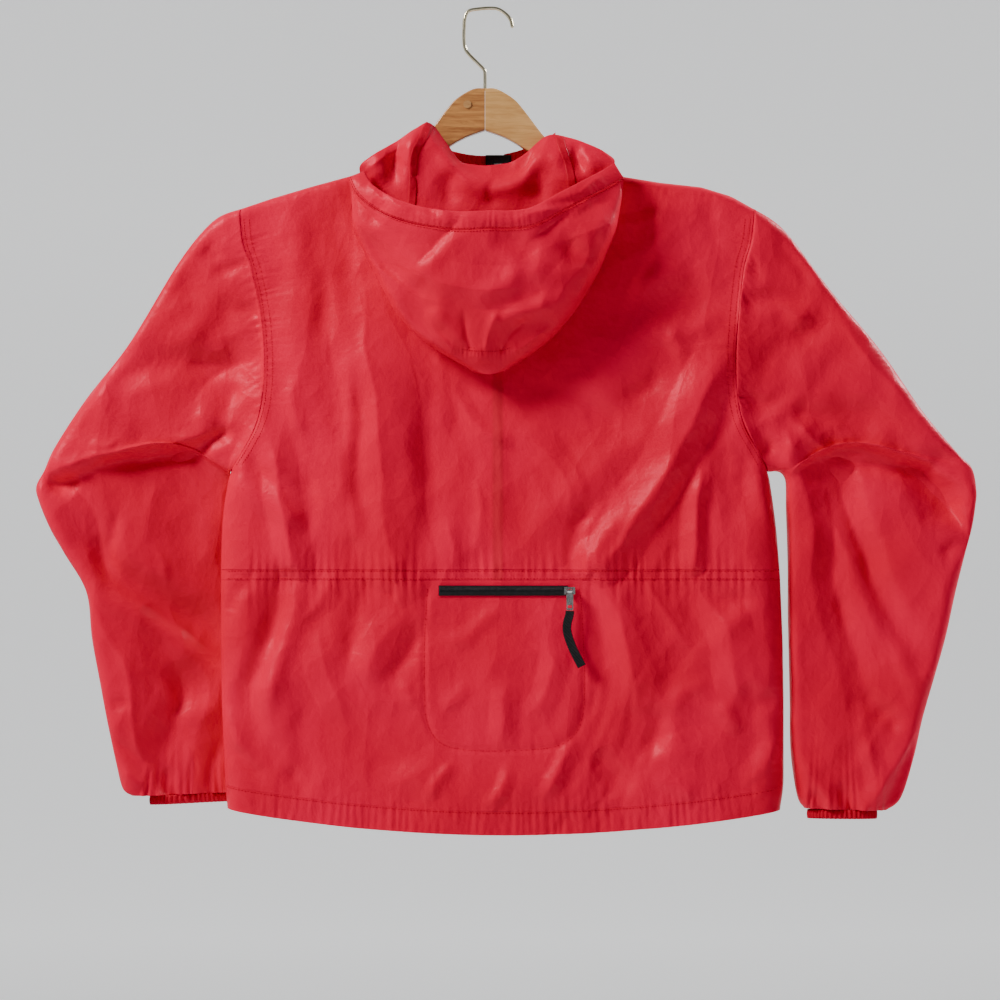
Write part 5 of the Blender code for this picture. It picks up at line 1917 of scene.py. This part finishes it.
# ------------------------------------------------------------------ zips
@dataclass(frozen=True)
class Zips:
    """Both zips: tapes, coils, sliders, tabs and the webbing pull."""

    body: Body
    back: Face
    finishes: Finishes
    stow_left: float = -56.0
    stow_right: float = 85.0
    stow_z: float = -638.0
    stow_height: float = 11.0
    tape_out: float = 1.6
    tape_wall: float = 0.8
    bag_behind: float = 1.8
    front_half_width: float = 14.0
    webbing_path: tuple = ((87, -659.6), (86.6, -664), (84, -674), (84.4, -684), (90, -700), (100, -720))
    webbing_y: float = -33.7
    webbing_half_width: float = 4.7

    def build(self) -> None:
        """Lays the tapes, the pocket and the webbing."""
        self.stow()
        self.front()
        self.webbing()
        for node in ("stow_slider", "stow_pull_tab", "front_slider", "front_pull_tab"):
            part = bpy.data.objects[node]
            part.material_slots[0].material = self.finishes.metal
            LOG.info("%s: finish set", node)

    def stow(self) -> None:
        """The stow pocket's bag, tape and coil."""
        x = np.broadcast_to(np.linspace(self.stow_left, self.stow_right, 90), (9, 90))
        z = self.stow_z + self.stow_height * np.linspace(0.5, -0.5, 9)[:, None] + 0 * x
        hang(Sheet("stow_tape_cloth", self.back.laid(x, z, self.tape_out), self.finishes.tape, turned=True,
                   wall=self.tape_wall), Cut(("stow_zip_tape",), (0.141, 0.011), None, "zip_tape"))
        x = np.linspace(self.stow_left + 1, 79, 150)
        z = np.full(x.shape, self.stow_z + 1.8)
        line = self.back.laid(x, z, self.tape_out + 0.5)
        coil = Thread("stow_coil", 1.15, 3.4, 0.75, True).lay([line], self.finishes.coil)
        place(coil, "jacket", "zip_tape")
        rows = ((-630, -66, 96), (-690, -71, 101), (-745, -70, 102), (-780, -67, 98), (-800, -56, 88),
                (-811, -34, 64))
        table = Table("z left right", rows)
        z = np.linspace(rows[0][0], rows[-1][0], 40)[:, None]
        x = mix(table.read("left", z), table.read("right", z), np.linspace(0, 1, 40))
        grid = self.back.laid(x, z + 0 * x, -self.bag_behind)
        hang(Sheet("stow_pocket_cloth", grid, self.finishes.shell, turned=True),
             Cut(("stow_pocket",), (0.175, 0.185), 0.030))

    def front(self) -> None:
        """The front zip's tape and coil, behind the fronts' edges."""
        body = self.body
        z = np.linspace(-157, -902, 260)[:, None]
        x = body.zip_x + self.front_half_width * np.linspace(-1, 1, 13)[None, :] + 0 * z
        z = z + 0 * x
        neck = body.edge_y + body.neck_depth * body.neck_open(x)
        y = np.where(z > body.top(x), neck, body.half(x, z, FRONT_FOLDS)) - 1.8
        hang(Sheet("front_tape_cloth", np.stack((x, y, z), -1), self.finishes.tape,
                   wall=self.tape_wall),
             Cut(("front_zip_tape",), (0.028, 0.743), None, "zip_tape"))
        line = np.stack((x[6:, 6], y[6:, 6] + 0.5, z[6:, 6]), -1)
        coil = Thread("front_coil", 1.5, 5.0, 0.9, True).lay([line], self.finishes.coil)
        place(coil, "jacket", "zip_tape")

    def webbing(self) -> None:
        """The webbing that hangs from the stow zip's tab."""
        line = follow(np.array(self.webbing_path, float), np.linspace(0, 1, 60))
        run = np.gradient(line, axis=0)
        run /= np.linalg.norm(run, axis=1, keepdims=True)
        across = np.stack((-run[:, 1], run[:, 0]), 1)
        share = np.linspace(-1, 1, 9)
        flat = line[:, None] + self.webbing_half_width * share[None, :, None] * across[:, None]
        rib = 0.12 * np.sin(np.arange(60) * 2.1)[:, None] + 0 * share
        selvedge = 0.25 * (np.abs(share) > 0.7)
        grid = np.stack((flat[..., 0], self.webbing_y - rib * 0.5 - selvedge, flat[..., 1]), -1)
        hang(Sheet("webbing_cloth", grid, self.finishes.webbing, turned=True, wall=1.4),
             Cut(("stow_pull_webbing",), (), None, "webbing", "stow_pull"))


# ------------------------------------------------------------------ the hanger
@dataclass(frozen=True)
class Hanger:
    """The wooden hanger: two arms, a plug over the screw, and the wire hook."""

    finishes: Finishes
    wire: float = 4.0
    middle: float = -5.5
    thick: float = 13.0
    joint: float = 0.15
    edge: float = 3.2
    arm_top: tuple = (
        (0, -86.9), (13, -87.6), (31, -98), (43, -111), (67, -142), (86, -158.3), (104.5, -168.7),
        (148, -185.2), (192, -198.4), (208, -204.6))
    arm_under: tuple = (
        (215, -210), (209, -217), (148.5, -203.5), (93.5, -184.5), (51.7, -158.4), (24, -142), (0, -133))
    hook_path: tuple = (
        (-5.5, -87.2), (-5.5, -72), (-6.5, -66), (-12, -60), (-22, -50), (-27, -43), (-28.5, -34),
        (-28.5, -20), (-27.5, -8), (-23, -1), (-12, 1.2), (0, 2.0), (9, 1.0), (17, -4), (22.5, -10.5),
        (24.5, -18))

    def arm(self, side: str, finish: Material) -> None:
        """Cuts one arm with rounded edges, but square where the two are joined.

        Args:
            side: left or right.
            finish: its wood.
        """
        sign = -1 if side == "left" else 1
        top = follow(np.array(self.arm_top, float), np.linspace(0, 1, 46))
        under = follow(np.array(self.arm_under, float), np.linspace(0, 1, 34))
        outline = np.concatenate((top, under))
        outline[:, 0] = self.middle + sign * np.maximum(outline[:, 0], self.joint)
        work = bmesh.new()
        faces = [work.faces.new([work.verts.new((x * MM, y * MM, z * MM)) for x, z in outline])
                 for y in (-self.thick / 2, self.thick / 2)]
        bmesh.ops.bridge_loops(work, edges=[edge for face in faces for edge in face.edges])
        bmesh.ops.recalc_face_normals(work, faces=work.faces)
        weight = work.edges.layers.float.new("bevel_weight_edge")
        square = (self.middle + sign * (self.joint + 0.01)) * MM
        for edge in work.edges:
            joined = all(abs(v.co.x - square) < 0.05 * MM for v in edge.verts)
            level = abs(edge.verts[0].co.y - edge.verts[1].co.y) < 1e-6
            edge.smooth = not joined
            edge[weight] = 1.0 if level and not joined else 0.0
        mesh = bpy.data.meshes.new(f"wood_arm_{side}")
        work.to_mesh(mesh)
        work.free()
        arm = new_object(mesh.name, mesh, finish)
        edges = arm.modifiers.new("edges", "BEVEL")
        edges.limit_method, edges.width, edges.segments = "WEIGHT", self.edge * MM, 5
        edges.harden_normals = True
        place(arm, "jacket", f"wood_{'dark' if side == 'left' else 'light'}", f"hanger_arm_{side}")

    def build(self) -> None:
        """Bends the hook and cuts the wood."""
        line = follow(np.array(self.hook_path), np.linspace(0, 1, 150))
        points = np.stack((line[:, 0], 0 * line[:, 0], line[:, 1]), -1)
        mesh = tube(points, self.wire / 2, 24)
        mesh.name = "hook_wire"
        place(new_object("hook_wire", mesh, self.finishes.brass), "jacket", "hook_metal", "hanger_hook")
        self.arm("left", self.finishes.wood_left)
        self.arm("right", self.finishes.wood_right)
        bpy.data.objects["hanger_plug"].material_slots[0].material = self.finishes.plug
        LOG.info("hanger_plug: finish set")


# ------------------------------------------------------------------ studio
@dataclass(frozen=True)
class Lamp:
    """One soft light, aimed at a point."""

    name: str
    place: tuple
    aim: tuple
    size: float
    power: float
    colour: tuple = (1.0, 1.0, 1.0)

    def build(self) -> None:
        """Puts the light in the scene."""
        light = bpy.data.lights.new(self.name, "AREA")
        light.shape, light.size, light.energy, light.color = "SQUARE", self.size, self.power, self.colour
        lamp = bpy.data.objects.new(self.name, light)
        bpy.context.scene.collection.objects.link(lamp)
        lamp.location = self.place
        lamp.rotation_mode = "QUATERNION"
        lamp.rotation_quaternion = (Vector(self.aim) - Vector(self.place)).to_track_quat("-Z", "Y")


@dataclass(frozen=True)
class Studio:
    """A pale curved backdrop that runs on as the floor, soft lights, and the camera."""

    floor_z: float = -1.9
    near_y: float = -30.0
    wall_y: float = 8.0
    wall_z: float = 24.0
    bend: float = 2.5
    width: float = 40.0
    glow: tuple = (0.04, 0.62)
    glow_from: tuple = (1.0, 5.5)
    camera_place: tuple = (0.011, -3.0, -0.539)
    lens: float = 98.18
    world_strength: float = 0.13
    lamps: tuple = (
        Lamp("key_light", (-2.3, -1.5, 1.6), (0.0, 0.0, -0.5), 0.8, 142.0, (1.0, 0.985, 0.96)),
        Lamp("fill_light", (2.2, -2.6, 0.1), (0.0, 0.0, -0.55), 2.4, 8.0, (0.96, 0.98, 1.0)),
        Lamp("far_light", (2.7, 0.95, 1.4), (0.0, 0.0, -0.5), 0.8, 120.0))

    def backdrop(self) -> None:
        """Floor, bend and wall in one sheet."""
        turn = np.linspace(0, math.pi / 2, 25)
        profile = [(self.near_y, self.floor_z)]
        start, bend = self.wall_y - self.bend, self.bend
        profile += [(start + bend * math.sin(a), self.floor_z + bend * (1 - math.cos(a))) for a in turn]
        profile += [(self.wall_y, self.wall_z)]
        verts = [(x, y, z) for y, z in profile for x in (-self.width, self.width)]
        faces = [(2 * i, 2 * i + 1, 2 * i + 3, 2 * i + 2) for i in range(len(profile) - 1)]
        mesh = bpy.data.meshes.new("backdrop")
        mesh.from_pydata(verts, [], faces)
        g = Graph("studio_paper")
        split = g.add("ShaderNodeSeparateXYZ", {0: g.place})
        glow = g.span(split.outputs["Y"], *self.glow, *self.glow_from)
        g.set(Base_Color=(0.74, 0.74, 0.73, 1.0), Roughness=0.85, Emission_Color=(0.97, 0.98, 1.0, 1.0),
              Emission_Strength=glow)
        new_object("backdrop", mesh, g.material)

    def build(self) -> None:
        """Sets the world, the lights and the camera."""
        self.backdrop()
        world = bpy.data.worlds.new("studio")
        bpy.context.scene.world = world
        world.use_nodes = True
        sky = world.node_tree.nodes["Background"]
        sky.inputs["Color"].default_value = (0.93, 0.95, 1.0, 1.0)
        sky.inputs["Strength"].default_value = self.world_strength
        for lamp in self.lamps:
            lamp.build()
        camera = bpy.data.objects.new("camera", bpy.data.cameras.new("camera"))
        bpy.context.scene.collection.objects.link(camera)
        camera.data.lens = self.lens
        camera.data.sensor_width = 36.0
        camera.location = self.camera_place
        camera.rotation_euler = (math.pi / 2, 0.0, 0.0)
        bpy.context.scene.camera = camera


def main() -> None:
    """Builds the jacket, the hanger and the studio."""
    logging.basicConfig(level=logging.INFO, format="%(name)s: %(message)s")
    finishes = make_finishes()
    body = Body()
    back = Back(body, finishes)
    back.build()
    back.dress()
    fronts = Fronts(body, finishes)
    fronts.build()
    fronts.dress()
    Arms(body, finishes).build()
    hood = HoodCloth(Hood(body), finishes)
    hood.build()
    hood.dress()
    Zips(body, back.face(), finishes).build()
    Hanger(finishes).build()
    Studio().build()


if __name__ == "__main__":
    main()
